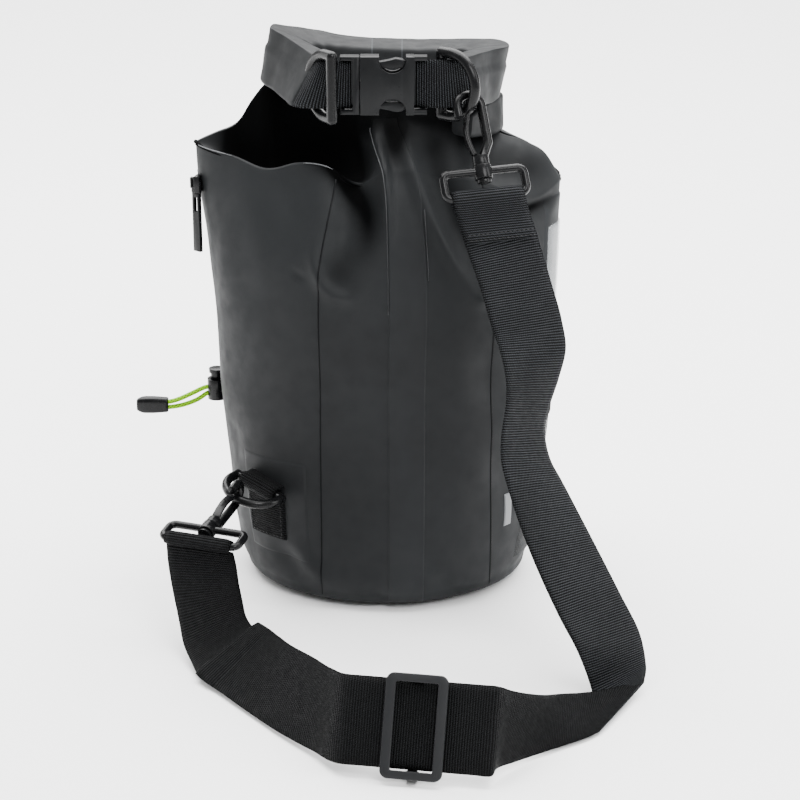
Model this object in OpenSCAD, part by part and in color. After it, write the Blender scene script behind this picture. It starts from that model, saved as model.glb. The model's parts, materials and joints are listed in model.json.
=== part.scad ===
// Roll-top dry bag, five litres, with a clip-on shoulder strap.
// Origin: middle of the base on the ground. +Z is up, the buckle side faces -Y, the pockets face +Y.

/* [Bag] */
// Thickness of the coated fabric wall
wall_t = 1; // [0.8:0.1:1.2]
// Thickness of the welded bands and patches
patch_t = 0.8; // [0.6:0.1:0.9]
// Width of the folded roll from end to end
roll_w = 128; // [124:1:130]
// Height of the roll's cross-section
roll_h = 36; // [34:1:37]

/* [Webbing] */
// Width of the closure webbing
web_w = 25; // [24:0.5:25]
// Thickness of all webbing
web_t = 1.5; // [1.2:0.1:1.6]
// Width of the shoulder strap
strap_w = 38; // [36:1:38]

/* [Hardware] */
// Thickness of the rings on the closure webbing
ring_wire = 5.6; // [5:0.2:5.8]
// Clear width inside every D ring
ring_inner = 27; // [26.5:0.5:28]
// Thickness of the ring on the bag's anchor loop
anchor_wire = 5; // [4.6:0.2:5]
// Thickness of the snap hooks
hook_wire = 4.8; // [4.4:0.2:4.8]
// Thickness of the strap rings under the snap hooks
strap_ring_wire = 4.2; // [4:0.1:4.4]

/* [Buckle] */
// Height of the buckle across the webbing
buckle_h = 30; // [29:0.5:31]
// Thickness of the buckle
buckle_t = 9; // [8:0.5:9]

/* [Hidden] */
$fn = 48;
tiny = 0.01;
gap = 0.3;

// Bag wall: height, half width, half depth, how far the middle lies behind the origin
wall_rows = [
  [0, 71, 61, 0],
  [4, 79, 69, 0],
  [12, 83, 72, 0],
  [30, 87, 72, 0],
  [68, 91, 70, 0],
  [105, 95, 66, 0],
  [160, 96, 64, 0],
  [200, 100, 58, 0],
  [226, 103, 49, 1],
  [245, 104, 40, 2],
  [254, 97, 30, 3],
  [261, 80, 20, 4],
  [266, 60, 12, 4]
];
half_w = [for (r = wall_rows) [r[0], r[1]]];
half_d = [for (r = wall_rows) [r[0], r[2]]];
back_y = [for (r = wall_rows) [r[0], r[3]]];

// Closure line in front of the bag
web_z = 292.5;
buckle_y = -64;
right_web_y = -62.3;
male_end_x = -23.6;
female_start_x = -13.2;
female_end_x = 14.2;
buckle_end_x = 20.8;
prong_root_x = -13.6;
prong_t = 5;

// Roll on top of the neck; its two ends are folded forward beside the closure
roll_z = 267;
roll_d = 27;
roll_y = 3.5;
roll_round = 9;
end_t = 20;
end_tip_y = -58;
end_z_left = 270;
end_z_right = 267.5;

// Rings on the closure webbing: place of the swing axis and turn away from the webbing's normal
ring_z = 291.9;
left_ring_x = -32;
left_ring_turn = 33;
left_ring_back = 8;
right_ring_x = 33.2;
right_ring_turn = 50;
right_ring_back = 6.5;
ring_leg = 5.5;
anchor_leg = 4;

// Snap hooks: swivel centre, then the middle of the hook's bend
hook_len = 34.2;
bend_r = 6.6;
upper_swivel = [48.9, -86.2, 252.8];
upper_bend = [43.1, -69.4, 282];
upper_side = [0.93, 0.3, 0.08];
upper_gate_side = [-0.932, -0.362, 0.022];
lower_swivel = [-94.4, -98.9, 61];
lower_bend = [-82.6, -67.3, 66.5];
lower_side = [0.946, -0.324, 0];
lower_gate_side = [0.105, -0.21, 0.972];
strap_ring_drop = 13;

// Anchor ring on the bag's side
anchor_at = [-70, -53, 67];
anchor_bar = [0.788, -0.568, -0.239];
anchor_pull = [-0.589, -0.808, -0.026];
anchor_inner = 26.5;

// Strap adjuster
slider_at = [14, -251, 24.6];
slider_x = [0.985, -0.174, 0];
slider_z = [0.079, 0.447, 0.891];
slider_w = 30;
slider_h = 50;
slider_run = 30;

// Shoulder strap, as pairs of points: inner or upper edge, then outer or lower edge
strap_rise = [
  [[70, -86.8, 240], [34, -98, 237]],
  [[74, -88, 229], [38, -100, 224]],
  [[84, -95, 198], [48, -112, 197]],
  [[90, -102, 178], [54, -120, 178]],
  [[92, -106, 166], [57, -127, 171]],
  [[89, -107, 150], [60, -134, 158]],
  [[84, -108, 133], [60, -138, 145]],
  [[82, -110, 121], [58, -142, 132]],
  [[85, -116, 107], [58, -145, 117]],
  [[90, -122, 99], [61, -149, 106]],
  [[102, -132, 78], [69, -157, 83]],
  [[120, -148, 46], [87, -170, 44]],
  [[130, -155, 27], [97, -177, 26]],
  [[133, -161, 13], [104, -176, 6]],
  [[132, -165, 4], [105, -214, 2]]
];
strap_right = [
  [[104, -186, 9], [97, -221, 2]],
  [[88, -200, 16], [85, -229, 2]],
  [[72, -228, 30], [62, -246, 3]],
  [[61, -240, 38], [53, -256, 5]]
];
strap_left = [
  [[-28, -217, 39], [-36, -235, 3.5]],
  [[-37, -199, 36], [-52, -216, 2.5]],
  [[-49, -181, 34], [-67, -196, 2]],
  [[-56, -168, 33], [-82, -176, 2.5]],
  [[-64, -155, 32], [-97, -155, 3]]
];
strap_turn = [
  [[-69, -146, 27], [-100, -141, 4]],
  [[-74, -137, 29], [-107, -129, 9]],
  [[-76, -131, 35], [-110, -120, 19]],
  [[-78, -125, 42], [-114, -111, 35]],
  [[-79.5, -120, 50], [-116, -106.5, 47]],
  [[-81, -117.5, 55.6], [-116.6, -104.2, 55.8]]
];
// Direction towards the inside of the fold at the strap's right corner
fold_inward = [-0.876, 0.482, 0];

// Drawcord of the lower pocket: two strands out of the lock and into the pull end
cord_d = 2.6;
lock_at = [-98, 22, 97.5];
cord_route_upper = [
  [-102.6, 21.6, 98.5],
  [-105, 21.3, 98],
  [-108, 21, 96.8],
  [-111, 20.5, 95.4],
  [-115, 20, 93.6],
  [-119, 19.5, 91.9],
  [-122.5, 19, 90.8],
  [-126, 18.5, 90.2],
  [-130, 18.5, 90.1],
  [-134, 18.5, 90.1],
  [-138, 18.5, 90.1]
];
cord_route_lower = [
  [-102.6, 21.6, 95.1],
  [-104.6, 21.4, 94],
  [-107, 21.1, 92.3],
  [-110, 20.7, 90.6],
  [-113.5, 20.3, 89.2],
  [-117.5, 19.8, 88],
  [-121.5, 19.2, 87.3],
  [-126, 18.5, 87],
  [-130, 18.5, 86.9],
  [-134, 18.5, 86.9],
  [-138, 18.5, 86.9]
];
cord_end_x = -126;
cord_end_len = 18;

// ---- Helpers ----
function unit(v) = v / norm(v);
function wall(u, z, off) = [
  (lookup(z, half_w) + off) * cos(u),
  lookup(z, back_y) + (lookup(z, half_d) + off) * sin(u),
  z
];

// Faces of a stack of n rings with m points each, closed at both ends. The ends are split into
// strips, because the outline of a thin panel's end is a long crescent
function stack_end(m) = [for (j = [0:m / 2 - 2]) [j, j + 1, m - 2 - j, m - 1 - j]];
function stack_faces(n, m) = concat(
  stack_end(m),
  [for (i = [0:n - 2]) for (j = [0:m - 1]) [i * m + j, (i + 1) * m + j, (i + 1) * m + (j + 1) % m]],
  [for (i = [0:n - 2]) for (j = [0:m - 1]) [i * m + j, (i + 1) * m + (j + 1) % m, i * m + (j + 1) % m]],
  [for (f = stack_end(m)) [for (k = [3:-1:0]) (n - 1) * m + f[k]]]
);
module stack(rings) {
  pts = [for (r = rings) for (p = r) p];
  polyhedron(pts, stack_faces(len(rings), len(rings[0])), convexity = 6);
}

// Thin panel that follows the bag's wall from angle u1 to u2 and from height z1 to z2
module skin(u1, u2, z1, z2, off, t, nu = 8, nz = 8) {
  rings = [for (i = [0:nz])
    let (z = z1 + (z2 - z1) * i / nz)
    concat(
      [for (j = [0:nu]) wall(u1 + (u2 - u1) * j / nu, z, off + t)],
      [for (j = [nu:-1:0]) wall(u1 + (u2 - u1) * j / nu, z, off)]
    )];
  stack(rings);
}

// Moves children so that their Z lies along z and their X as near as can be to x
module place(at, z, x) {
  zz = unit(z);
  xx = unit(x - (x * zz) * zz);
  yy = cross(zz, xx);
  multmatrix([
    [xx[0], yy[0], zz[0], at[0]],
    [xx[1], yy[1], zz[1], at[1]],
    [xx[2], yy[2], zz[2], at[2]]
  ]) children();
}

// Round bar between two points
module bar(a, b, r) {
  v = b - a;
  side = abs(unit(v)[2]) > 0.9 ? [1, 0, 0] : [0, 0, 1];
  place(a, v, side) cylinder(r = r, h = norm(v));
}

// D ring: straight bar along X through the origin, curved side towards +Z
module d_ring(inner, wire, leg) {
  h = (inner + wire) / 2;
  r = wire / 2;
  bar([-h, 0, 0], [h, 0, 0], r);
  for (s = [-1, 1]) {
    translate([s * h, 0, 0]) sphere(r = r);
    bar([s * h, 0, 0], [s * h, 0, leg], r);
  }
  translate([0, 0, leg]) rotate([90, 0, 0]) rotate_extrude(angle = 180)
    translate([h, 0]) circle(r = r);
}

// Webbing along a list of edge pairs, shifted by off along its normal; fold_i is a flat fold's place
function mid(pair) = (pair[0] + pair[1]) / 2;
function web_normal(list, i) =
  let (
    a = mid(list[max(i - 1, 0)]),
    b = mid(list[min(i + 1, len(list) - 1)])
  )
  unit(cross(b - a, list[i][0] - list[i][1]));
module web_strip(list, off, t, fold_i = -1) {
  stack([for (i = [0:len(list) - 1])
    let (
      n = i == fold_i ? fold_inward : web_normal(list, i),
      high = n * (off + t / 2),
      low = n * (off - t / 2)
    )
    [list[i][1] + high, list[i][1] + low, list[i][0] + low, list[i][0] + high]]);
}

// ---- Bag ----
module body_shell() {
  m = 48;
  n = len(wall_rows);
  outer = [for (r = wall_rows) [for (j = [0:m - 1]) wall(360 * j / m, r[0], 0)]];
  inner = [for (r = wall_rows) [for (j = [0:m - 1]) wall(360 * j / m, r[0], -wall_t)]];
  pts = concat([for (r = outer) for (p = r) p], [for (r = inner) for (p = r) p]);
  k = n * m;
  faces = concat(
    [for (i = [0:n - 2]) for (j = [0:m - 1])
      [i * m + j, (i + 1) * m + j, (i + 1) * m + (j + 1) % m, i * m + (j + 1) % m]],
    [for (i = [0:n - 2]) for (j = [0:m - 1])
      [k + i * m + j, k + i * m + (j + 1) % m, k + (i + 1) * m + (j + 1) % m, k + (i + 1) * m + j]],
    [for (j = [0:m - 1]) [j, (j + 1) % m, k + (j + 1) % m, k + j]],
    [for (j = [0:m - 1])
      [k - m + j, 2 * k - m + j, 2 * k - m + (j + 1) % m, k - m + (j + 1) % m]]
  );
  color("#3c3f42") polyhedron(pts, faces, convexity = 8);
}
module base_panel() {
  shrink = wall_t + gap;
  color("#34373a") linear_extrude(wall_t)
    polygon([for (j = [0:47]) [
      (wall_rows[0][1] - shrink) * cos(7.5 * j),
      (wall_rows[0][2] - shrink) * sin(7.5 * j)
    ]]);
}
module centre_band() { color("#44474a") skin(270, 282.5, 5, 236, gap, patch_t, 3, 14); }
module seam_left() { color("#44474a") skin(246, 248, 5, 232, gap, patch_t, 1, 14); }
module seam_right() { color("#44474a") skin(307, 309, 5, 232, gap, patch_t, 1, 14); }

// ---- Roll ----
module round_box(w, h, r, len) {
  linear_extrude(len) {
    translate([-w / 2 + r, -h / 2]) square([w - 2 * r, h]);
    translate([-w / 2, -h / 2 + r]) square([w, h - 2 * r]);
    for (x = [-1, 1]) for (y = [-1, 1])
      translate([x * (w / 2 - r), y * (h / 2 - r)]) circle(r = r);
  }
}
module roll_core() {
  len = roll_w - 2 * end_t - 2 * gap;
  color("#4a4d50") translate([-len / 2, roll_y, roll_z + roll_h / 2]) rotate([90, 0, 90])
    difference() {
      round_box(roll_d, roll_h, roll_round, len);
      translate([-1, -web_w / 2 - gap, 2]) cube([2, web_w + 2 * gap, len - 4]);
    }
}
module roll_stiffener() {
  len = roll_w - 2 * end_t - 6;
  color("#202224") translate([-len / 2, roll_y - 0.5, roll_z + roll_h / 2 - web_w / 2])
    cube([len, 1, web_w]);
}
module roll_end(side, z, h) {
  back = roll_y + roll_d / 2;
  color("#56595c") translate([side * (roll_w - end_t) / 2, end_tip_y, z + h / 2]) rotate([-90, 0, 0])
    round_box(end_t, h, roll_round, back - end_tip_y);
}
module roll_end_left() { roll_end(-1, end_z_left, roll_h + 6); }
module roll_end_right() { roll_end(1, end_z_right, roll_h); }

// ---- Closure webbing and buckle ----
module closure_web_left() {
  x0 = -(roll_w / 2 - end_t / 2);
  color("#141516") translate([0, buckle_y, web_z]) {
    translate([x0, -web_t / 2, -web_w / 2]) cube([-17.6 - x0, web_t, web_w]);
    translate([x0, 0, -web_w / 2]) cube([web_t, end_tip_y - buckle_y - 0.1, web_w]);
  }
}
module closure_web_right() {
  x1 = roll_w / 2 - end_t / 2;
  color("#141516") translate([0, right_web_y, web_z]) {
    translate([14.8, -web_t / 2, -web_w / 2]) cube([x1 - 14.8, web_t, web_w]);
    translate([x1 - web_t, 0, -web_w / 2]) cube([web_t, end_tip_y - right_web_y - 0.1, web_w]);
  }
}
module buckle_male() {
  w = 10;
  bar_back = 3.6;
  color("#232527") translate([male_end_x, buckle_y, web_z]) difference() {
    union() {
      translate([0, -bar_back, -buckle_h / 2]) cube([w, 2 * bar_back, buckle_h]);
      translate([w - tiny, -2.4, -2]) cube([11.5, 4.8, 4]);
    }
    translate([2.4, -5, -12.8]) cube([4, 10, 25.6]);
    translate([-1, -5, -12.8]) cube([4, 5 + web_t / 2 + gap, 25.6]);
  }
}
module prong(side) {
  outline = [
    [0.8, 8.6], [0.2, 12.1], [9.9, 12.1], [12.6, 12.5], [15.6, 13.1], [18.6, 13.9],
    [21.6, 13.4], [23.6, 11.8], [24.2, 10.2], [22.6, 8.8], [18, 9]
  ];
  color("#2a2c2e") translate([prong_root_x, buckle_y, web_z]) mirror([0, 0, side < 0 ? 1 : 0])
    translate([0, prong_t / 2, 0]) rotate([90, 0, 0]) linear_extrude(prong_t) polygon(outline);
}
module prong_upper() { prong(1); }
module prong_lower() { prong(-1); }
module buckle_female() {
  len = female_end_x - female_start_x;
  notch_r = 6.9;
  notch_x = 3.2;
  color("#232527") translate([0, buckle_y, web_z]) {
    difference() {
      translate([female_start_x, -buckle_t / 2, -buckle_h / 2]) cube([len, buckle_t, buckle_h]);
      translate([female_start_x - 1, -prong_t / 2 - gap, -12.5]) cube([25.2, prong_t + 2 * gap, 25]);
      for (s = [-1, 1]) {
        translate([notch_x, 10, s * 13.4]) rotate([90, 0, 0]) cylinder(r = notch_r, h = 20);
        translate([notch_x - notch_r, -10, s > 0 ? 13.4 : -20]) cube([2 * notch_r, 20, 6.6]);
      }
    }
    for (s = [-1, 1])
      translate([female_end_x - tiny, -3, s > 0 ? 12.8 : -buckle_h / 2])
        cube([buckle_end_x - female_end_x, 6, buckle_h / 2 - 12.8]);
    translate([17, 2.9, -12.8 - tiny]) cube([3.4, 1.6, 25.6 + 2 * tiny]);
    for (s = [-1, 1]) translate([17, 0, s > 0 ? 12.8 : -13.8]) cube([3.4, 4.5, 1]);
  }
}

// ---- Rings ----
module closure_ring(x, y, turn, back, face) {
  pull = face * [sin(turn), -cos(turn), 0];
  place([x, y, ring_z] - pull * back, pull, [0, 0, 1]) d_ring(ring_inner, ring_wire, ring_leg);
}
module closure_ring_left() {
  color("#1c1d1f") closure_ring(left_ring_x, buckle_y, left_ring_turn, left_ring_back, -1);
}
module closure_ring_right() {
  color("#1c1d1f") closure_ring(right_ring_x, right_web_y, right_ring_turn, right_ring_back, 1);
}

// ---- Anchor on the side ----
anchor_hole = anchor_wire / 2 + 0.35;
anchor_inward = [0.6, 0.8, 0];
module anchor_patch() { color("#3f4245") skin(207, 242, 23, 84, gap, patch_t, 8, 6); }
module anchor_web() { color("#17181a") skin(210, 232, 34, 64, 2 * gap + patch_t, web_t, 5, 5); }
module anchor_loop() {
  outer = anchor_hole + web_t;
  color("#17181a") difference() {
    union() {
      place(anchor_at - 12 * anchor_bar, anchor_bar, anchor_pull) cylinder(r = outer, h = 24);
      place(anchor_at, anchor_inward, anchor_bar) translate([-12, -1.5, 0]) cube([24, 3, outer + 2.4]);
    }
    place(anchor_at - 13 * anchor_bar, anchor_bar, anchor_pull) cylinder(r = anchor_hole, h = 26);
  }
}
module anchor_ring() {
  color("#1c1d1f") place(anchor_at, anchor_pull, anchor_bar) d_ring(anchor_inner, anchor_wire, anchor_leg);
}

// ---- Snap hooks ----
hook_base_z = 3.2;
bend_x = 0.8;
module snap_hook() {
  r = hook_wire / 2;
  spine_x = bend_x - bend_r;
  nose_x = bend_x + bend_r;
  translate([0, 0, -4.6]) cylinder(r = 2.5, h = 9);
  translate([0, 0, -6.2]) cylinder(r = 3.6, h = 1.6);
  translate([0, 0, hook_base_z]) cylinder(r = 4.2, h = 4.6);
  bar([-1.6, 0, 7], [spine_x, 0, 15], r);
  translate([spine_x, 0, 15]) sphere(r = r);
  bar([spine_x, 0, 15], [spine_x, 0, hook_len], r);
  translate([bend_x, 0, hook_len]) rotate([90, 0, 0]) rotate_extrude(angle = 180)
    translate([bend_r, 0]) circle(r = r);
  bar([nose_x, 0, hook_len], [nose_x, 0, hook_len - 5], r);
}
module snap_gate() {
  steps = 10;
  base = [2.8, 8.4];
  tip_z = 30.2;
  bulge = 2.4;
  leaf_t = 1.7;
  leaf_w = 4.4;
  function line_x(s) = base[0] + bulge * sin(180 * s);
  function line_z(s) = base[1] + (tip_z - base[1]) * s;
  outline = concat(
    [for (i = [0:steps]) [line_x(i / steps) + leaf_t / 2, line_z(i / steps)]],
    [for (i = [steps:-1:0]) [line_x(i / steps) - leaf_t / 2, line_z(i / steps)]]
  );
  translate([0, leaf_w / 2, 0]) rotate([90, 0, 0]) linear_extrude(leaf_w) polygon(outline);
}
module strap_ring() {
  r = strap_ring_wire / 2;
  half = (strap_w + 1) / 2 + r;
  corner = 3.5;
  difference() {
    translate([0, 0, -4.3]) cylinder(r = 4.6, h = 7.2);
    translate([0, 0, -5]) cylinder(r = 2.55, h = 9);
  }
  for (s = [-1, 1]) {
    bar([s * 4, 0, 0], [s * (half - corner), 0, 0], r);
    bar([s * half, 0, -corner], [s * half, 0, corner - strap_ring_drop], r);
    translate([s * (half - corner), 0, -corner]) rotate([90, 0, 0]) rotate([0, 0, s > 0 ? 0 : 90])
      rotate_extrude(angle = 90) translate([corner, 0]) circle(r = r);
    translate([s * (half - corner), 0, corner - strap_ring_drop]) rotate([90, 0, 0])
      rotate([0, 0, s > 0 ? 270 : 180]) rotate_extrude(angle = 90) translate([corner, 0]) circle(r = r);
  }
  bar([corner - half, 0, -strap_ring_drop], [half - corner, 0, -strap_ring_drop], r);
}
module hook_upper() {
  color("#1e2022") place(upper_swivel, upper_bend - upper_swivel, upper_gate_side) snap_hook();
}
module gate_upper() {
  color("#2a2c2e") place(upper_swivel, upper_bend - upper_swivel, upper_gate_side) snap_gate();
}
module strap_ring_upper() {
  color("#1e2022") place(upper_swivel, upper_bend - upper_swivel, upper_side) strap_ring();
}
module hook_lower() {
  color("#1e2022") place(lower_swivel, lower_bend - lower_swivel, lower_gate_side) snap_hook();
}
module gate_lower() {
  color("#2a2c2e") place(lower_swivel, lower_bend - lower_swivel, lower_gate_side) snap_gate();
}
module strap_ring_lower() {
  color("#1e2022") place(lower_swivel, lower_bend - lower_swivel, lower_side) strap_ring();
}

// ---- Shoulder strap ----
function slider_pair(s) =
  let (c = slider_at + s * unit(slider_x) + slider_z)
  [c + slider_z * strap_w / 2, c - slider_z * strap_w / 2];
strap_floor = concat(
  strap_right, [slider_pair(slider_run), slider_pair(-slider_run)], strap_left, strap_turn
);
strap_back = concat([slider_pair(-18), slider_pair(-slider_run)], strap_left, strap_turn);
module bar_loop(swivel, bend, side) {
  r = strap_ring_wire / 2 + 0.35;
  place(swivel, bend - swivel, side) translate([-strap_w / 2, 0, -strap_ring_drop]) rotate([0, 90, 0])
    difference() {
      cylinder(r = r + web_t, h = strap_w);
      translate([0, 0, -1]) cylinder(r = r, h = strap_w + 2);
    }
}
module strap_web() {
  color("#101112") {
    web_strip(concat(strap_rise, strap_floor), 0, web_t, len(strap_rise) - 1);
    bar_loop(upper_swivel, upper_bend, upper_side);
    bar_loop(lower_swivel, lower_bend, lower_side);
  }
}
module strap_return() {
  color("#101112") web_strip(strap_back, web_t + gap, web_t);
}
module strap_slider() {
  front = -3.2;
  plate_t = 2.3;
  window_w = 20.4;
  window_h = strap_w + 4;
  color("#26282a") place(slider_at, slider_z, slider_x) {
    translate([0, front + plate_t, 0]) rotate([90, 0, 0]) difference() {
      round_box(slider_w, slider_h, 4, plate_t);
      translate([-window_w / 2, -window_h / 2, -1]) cube([window_w, window_h, plate_t + 2]);
    }
    for (s = [-1, 1])
      translate([-3, front, s > 0 ? window_h / 2 : -slider_h / 2])
        cube([6, 8, (slider_h - window_h) / 2]);
    translate([-2.3, 2.8, -window_h / 2 - tiny]) cube([4.6, 2, window_h + 2 * tiny]);
  }
}
module slider_loop() {
  h = strap_w - 2;
  t = 1.2;
  color("#17181a") place(slider_at + slider_z, slider_z, slider_x) difference() {
    union() {
      translate([-4, 1.2, -h / 2]) cube([8, 5.2, h]);
      translate([-14, 6.4 - t, -h / 2]) cube([10.5, t, h]);
    }
    translate([-2.6, 1.2 + t + 0.1, -h / 2 - 1]) cube([5.2, 5.2 - 2 * t - 0.2, h + 2]);
  }
}

// ---- Pockets on the far side ----
module pocket_panel() { color("#3f4245") skin(-6, 172, 116, 232, gap, patch_t, 20, 8); }
module pocket_window() { color("#b9c4c8", 0.4) skin(2, 160, 134, 206, 2 * gap + patch_t, 0.6, 18, 5); }
module zip_tape() { color("#18191b") skin(6, 176, 219, 232, 2 * gap + patch_t, patch_t, 20, 2); }
zip_at = [-105.9, -3, 225.5];
puller_pin = zip_at + [-2.5, 0, 1.5];
module zip_slider() {
  color("#2a2c2e") translate(zip_at) {
    translate([-1.6, -3.5, -4.5]) cube([3.2, 7, 9]);
    difference() {
      translate([-4.4, -1.2, -2.6]) cube([3, 2.4, 6]);
      translate([-3.4, -2, -1.6]) cube([1.8, 4, 4]);
    }
  }
}
module zip_puller() {
  arm_r = 0.8;
  color("#1c1d1f") translate(puller_pin) {
    translate([0, 3.2, 0]) rotate([90, 0, 0]) cylinder(r = 0.7, h = 6.4);
    for (y = [-3.2, 1.6]) {
      translate([0, y + 1.6, 0]) rotate([90, 0, 0]) cylinder(r = arm_r, h = 1.6);
      translate([-arm_r, y, -5.2]) cube([2 * arm_r, 1.6, 5.2]);
    }
    translate([-arm_r, -3.2, -6.4]) cube([2 * arm_r, 6.4, 1.3]);
    difference() {
      translate([-1, -2.6, -39.5]) cube([2, 5.2, 33.2]);
      translate([-2, -1.2, -17]) cube([4, 2.4, 8]);
    }
  }
}
module mesh_pocket() { color("#202224") skin(-32, 168, 16, 92, gap, patch_t, 22, 6); }
module mesh_hem() { color("#141516") skin(-32, 166, 93, 101, gap, 1.8, 22, 1); }
module reflector() { color("#d9dcdc") skin(316, 324, 40, 60, gap, 0.5, 3, 3); }

// ---- Drawcord ----
lock_r = 5.4;
lock_h = 12;
plunger_r = 3.5;
lock_floor = 1.5;
module cord_lock() {
  color("#1c1d1f") translate(lock_at - [0, 0, lock_h / 2]) difference() {
    cylinder(r = lock_r, h = lock_h);
    translate([0, 0, lock_floor]) cylinder(r = plunger_r + 0.08, h = lock_h);
  }
}
module cord_plunger() {
  color("#232527") translate(lock_at) {
    translate([0, 0, 0.5]) cylinder(r = plunger_r, h = 9.5);
    translate([0, 0, 9.8]) cylinder(r = 4.4, h = 2.2);
  }
}
module cord_spring() {
  color("#b0b3b5") translate(lock_at + [0, 0, lock_floor - lock_h / 2 + 0.05]) difference() {
    cylinder(r = 2.6, h = 4.8);
    translate([0, 0, -1]) cylinder(r = 1.8, h = 8);
  }
}
function route_dir(p, i) = unit(p[min(i + 1, len(p) - 1)] - p[max(i - 1, 0)]);
module cord_tube(route) {
  rings = [for (i = [0:len(route) - 1])
    let (
      z = route_dir(route, i),
      x = unit([0, 1, 0] - ([0, 1, 0] * z) * z),
      y = cross(z, x)
    )
    [for (j = [0:7]) route[i] + cord_d / 2 * (cos(45 * j) * x + sin(45 * j) * y)]];
  stack(rings);
}
module cord_upper() { color("#a6cc14") cord_tube(cord_route_upper); }
module cord_lower() { color("#a6cc14") cord_tube(cord_route_lower); }
module cord_end() {
  color("#1c1d1f") translate([cord_end_x, 18.5, 88.5]) rotate([0, -90, 0])
    round_box(10, 7, 3, cord_end_len);
}

body_shell();
base_panel();
centre_band();
seam_left();
seam_right();
roll_core();
roll_stiffener();
roll_end_left();
roll_end_right();
closure_web_left();
closure_web_right();
buckle_male();
prong_upper();
prong_lower();
buckle_female();
closure_ring_left();
closure_ring_right();
anchor_patch();
anchor_web();
anchor_loop();
anchor_ring();
hook_upper();
gate_upper();
strap_ring_upper();
hook_lower();
gate_lower();
strap_ring_lower();
strap_web();
strap_return();
strap_slider();
slider_loop();
pocket_panel();
pocket_window();
zip_tape();
zip_slider();
zip_puller();
mesh_pocket();
mesh_hem();
cord_lock();
cord_plunger();
cord_spring();
cord_upper();
cord_lower();
cord_end();
reflector();
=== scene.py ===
"""Roll-top dry bag with a clip-on shoulder strap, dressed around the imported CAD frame."""
import json
import math

import bpy
import numpy as np
from mathutils import Matrix, Vector

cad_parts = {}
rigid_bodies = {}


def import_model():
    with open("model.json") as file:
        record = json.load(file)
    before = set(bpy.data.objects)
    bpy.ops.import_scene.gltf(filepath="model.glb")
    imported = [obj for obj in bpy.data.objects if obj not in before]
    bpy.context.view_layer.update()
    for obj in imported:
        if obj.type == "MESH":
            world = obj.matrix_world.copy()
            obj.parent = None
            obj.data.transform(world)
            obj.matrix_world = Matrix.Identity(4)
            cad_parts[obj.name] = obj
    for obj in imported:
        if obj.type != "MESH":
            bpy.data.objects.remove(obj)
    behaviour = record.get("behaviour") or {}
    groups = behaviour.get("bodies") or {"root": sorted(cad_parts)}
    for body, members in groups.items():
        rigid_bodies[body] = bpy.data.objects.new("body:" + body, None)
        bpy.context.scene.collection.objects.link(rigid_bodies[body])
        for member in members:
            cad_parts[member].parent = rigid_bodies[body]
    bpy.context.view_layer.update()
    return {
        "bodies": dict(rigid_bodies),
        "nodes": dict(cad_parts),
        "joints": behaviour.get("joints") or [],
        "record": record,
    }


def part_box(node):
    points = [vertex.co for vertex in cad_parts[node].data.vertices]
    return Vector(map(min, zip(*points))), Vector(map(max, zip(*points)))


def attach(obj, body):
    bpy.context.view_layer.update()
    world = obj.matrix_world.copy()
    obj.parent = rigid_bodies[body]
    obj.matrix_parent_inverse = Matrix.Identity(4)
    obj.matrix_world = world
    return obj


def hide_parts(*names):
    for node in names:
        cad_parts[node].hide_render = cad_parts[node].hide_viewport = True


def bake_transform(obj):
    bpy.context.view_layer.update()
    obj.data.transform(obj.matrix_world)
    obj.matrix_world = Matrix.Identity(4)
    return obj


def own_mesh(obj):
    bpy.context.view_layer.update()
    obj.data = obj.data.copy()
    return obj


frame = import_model()

MM = 0.001
TAU = 2 * math.pi
WEB_THICK = 1.5
STRAP_W = 38

# ---------------------------------------------------------------- camera and light


def make_camera():
    """Camera of the product view: in front of the bag, looking down on it."""
    distance, tilt = 1.3, math.radians(20)
    target = Vector((0.007, 0.0, 0.098))
    forward = Vector((0.0, math.cos(tilt), -math.sin(tilt)))
    data = bpy.data.cameras.new("view")
    data.lens = 103.5
    data.sensor_width = 36
    data.clip_end = 20
    camera = bpy.data.objects.new("view", data)
    camera.location = target - distance * forward
    camera.rotation_euler = forward.to_track_quat("-Z", "Y").to_euler()
    bpy.context.scene.collection.objects.link(camera)
    bpy.context.scene.camera = camera


def area_light(name, place, aim, size, power):
    data = bpy.data.lights.new(name, "AREA")
    data.shape = "RECTANGLE"
    data.size, data.size_y = size
    data.energy = power
    light = bpy.data.objects.new(name, data)
    light.location = place
    light.rotation_euler = (Vector(aim) - Vector(place)).to_track_quat("-Z", "Y").to_euler()
    bpy.context.scene.collection.objects.link(light)


def make_studio():
    world = bpy.data.worlds.new("studio")
    bpy.context.scene.world = world
    world.use_nodes = True
    back = world.node_tree.nodes["Background"]
    back.inputs["Color"].default_value = (1, 1, 1, 1)
    back.inputs["Strength"].default_value = 0.7
    area_light("key", (0.5, -1.1, 1.15), (0, 0, 0.15), (0.7, 0.7), 20)
    area_light("side", (1.2, -0.3, 0.7), (0, 0, 0.2), (0.4, 0.9), 9)
    area_light("top", (0.0, 0.35, 1.8), (0, 0.1, 0), (2.4, 1.6), 130)
    area_light("far_floor", (0.0, 3.2, 2.6), (0, 3.0, 0), (6, 3.5), 420)
    area_light("edge", (-1.1, 0.4, 0.5), (0, 0, 0.2), (0.3, 0.9), 4.5)
    bpy.ops.mesh.primitive_plane_add(size=8, location=(0, 0, 0))
    floor = bpy.context.object
    floor.name = "floor"
    floor.data.materials.append(floor_material())


# ---------------------------------------------------------------- materials


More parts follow.
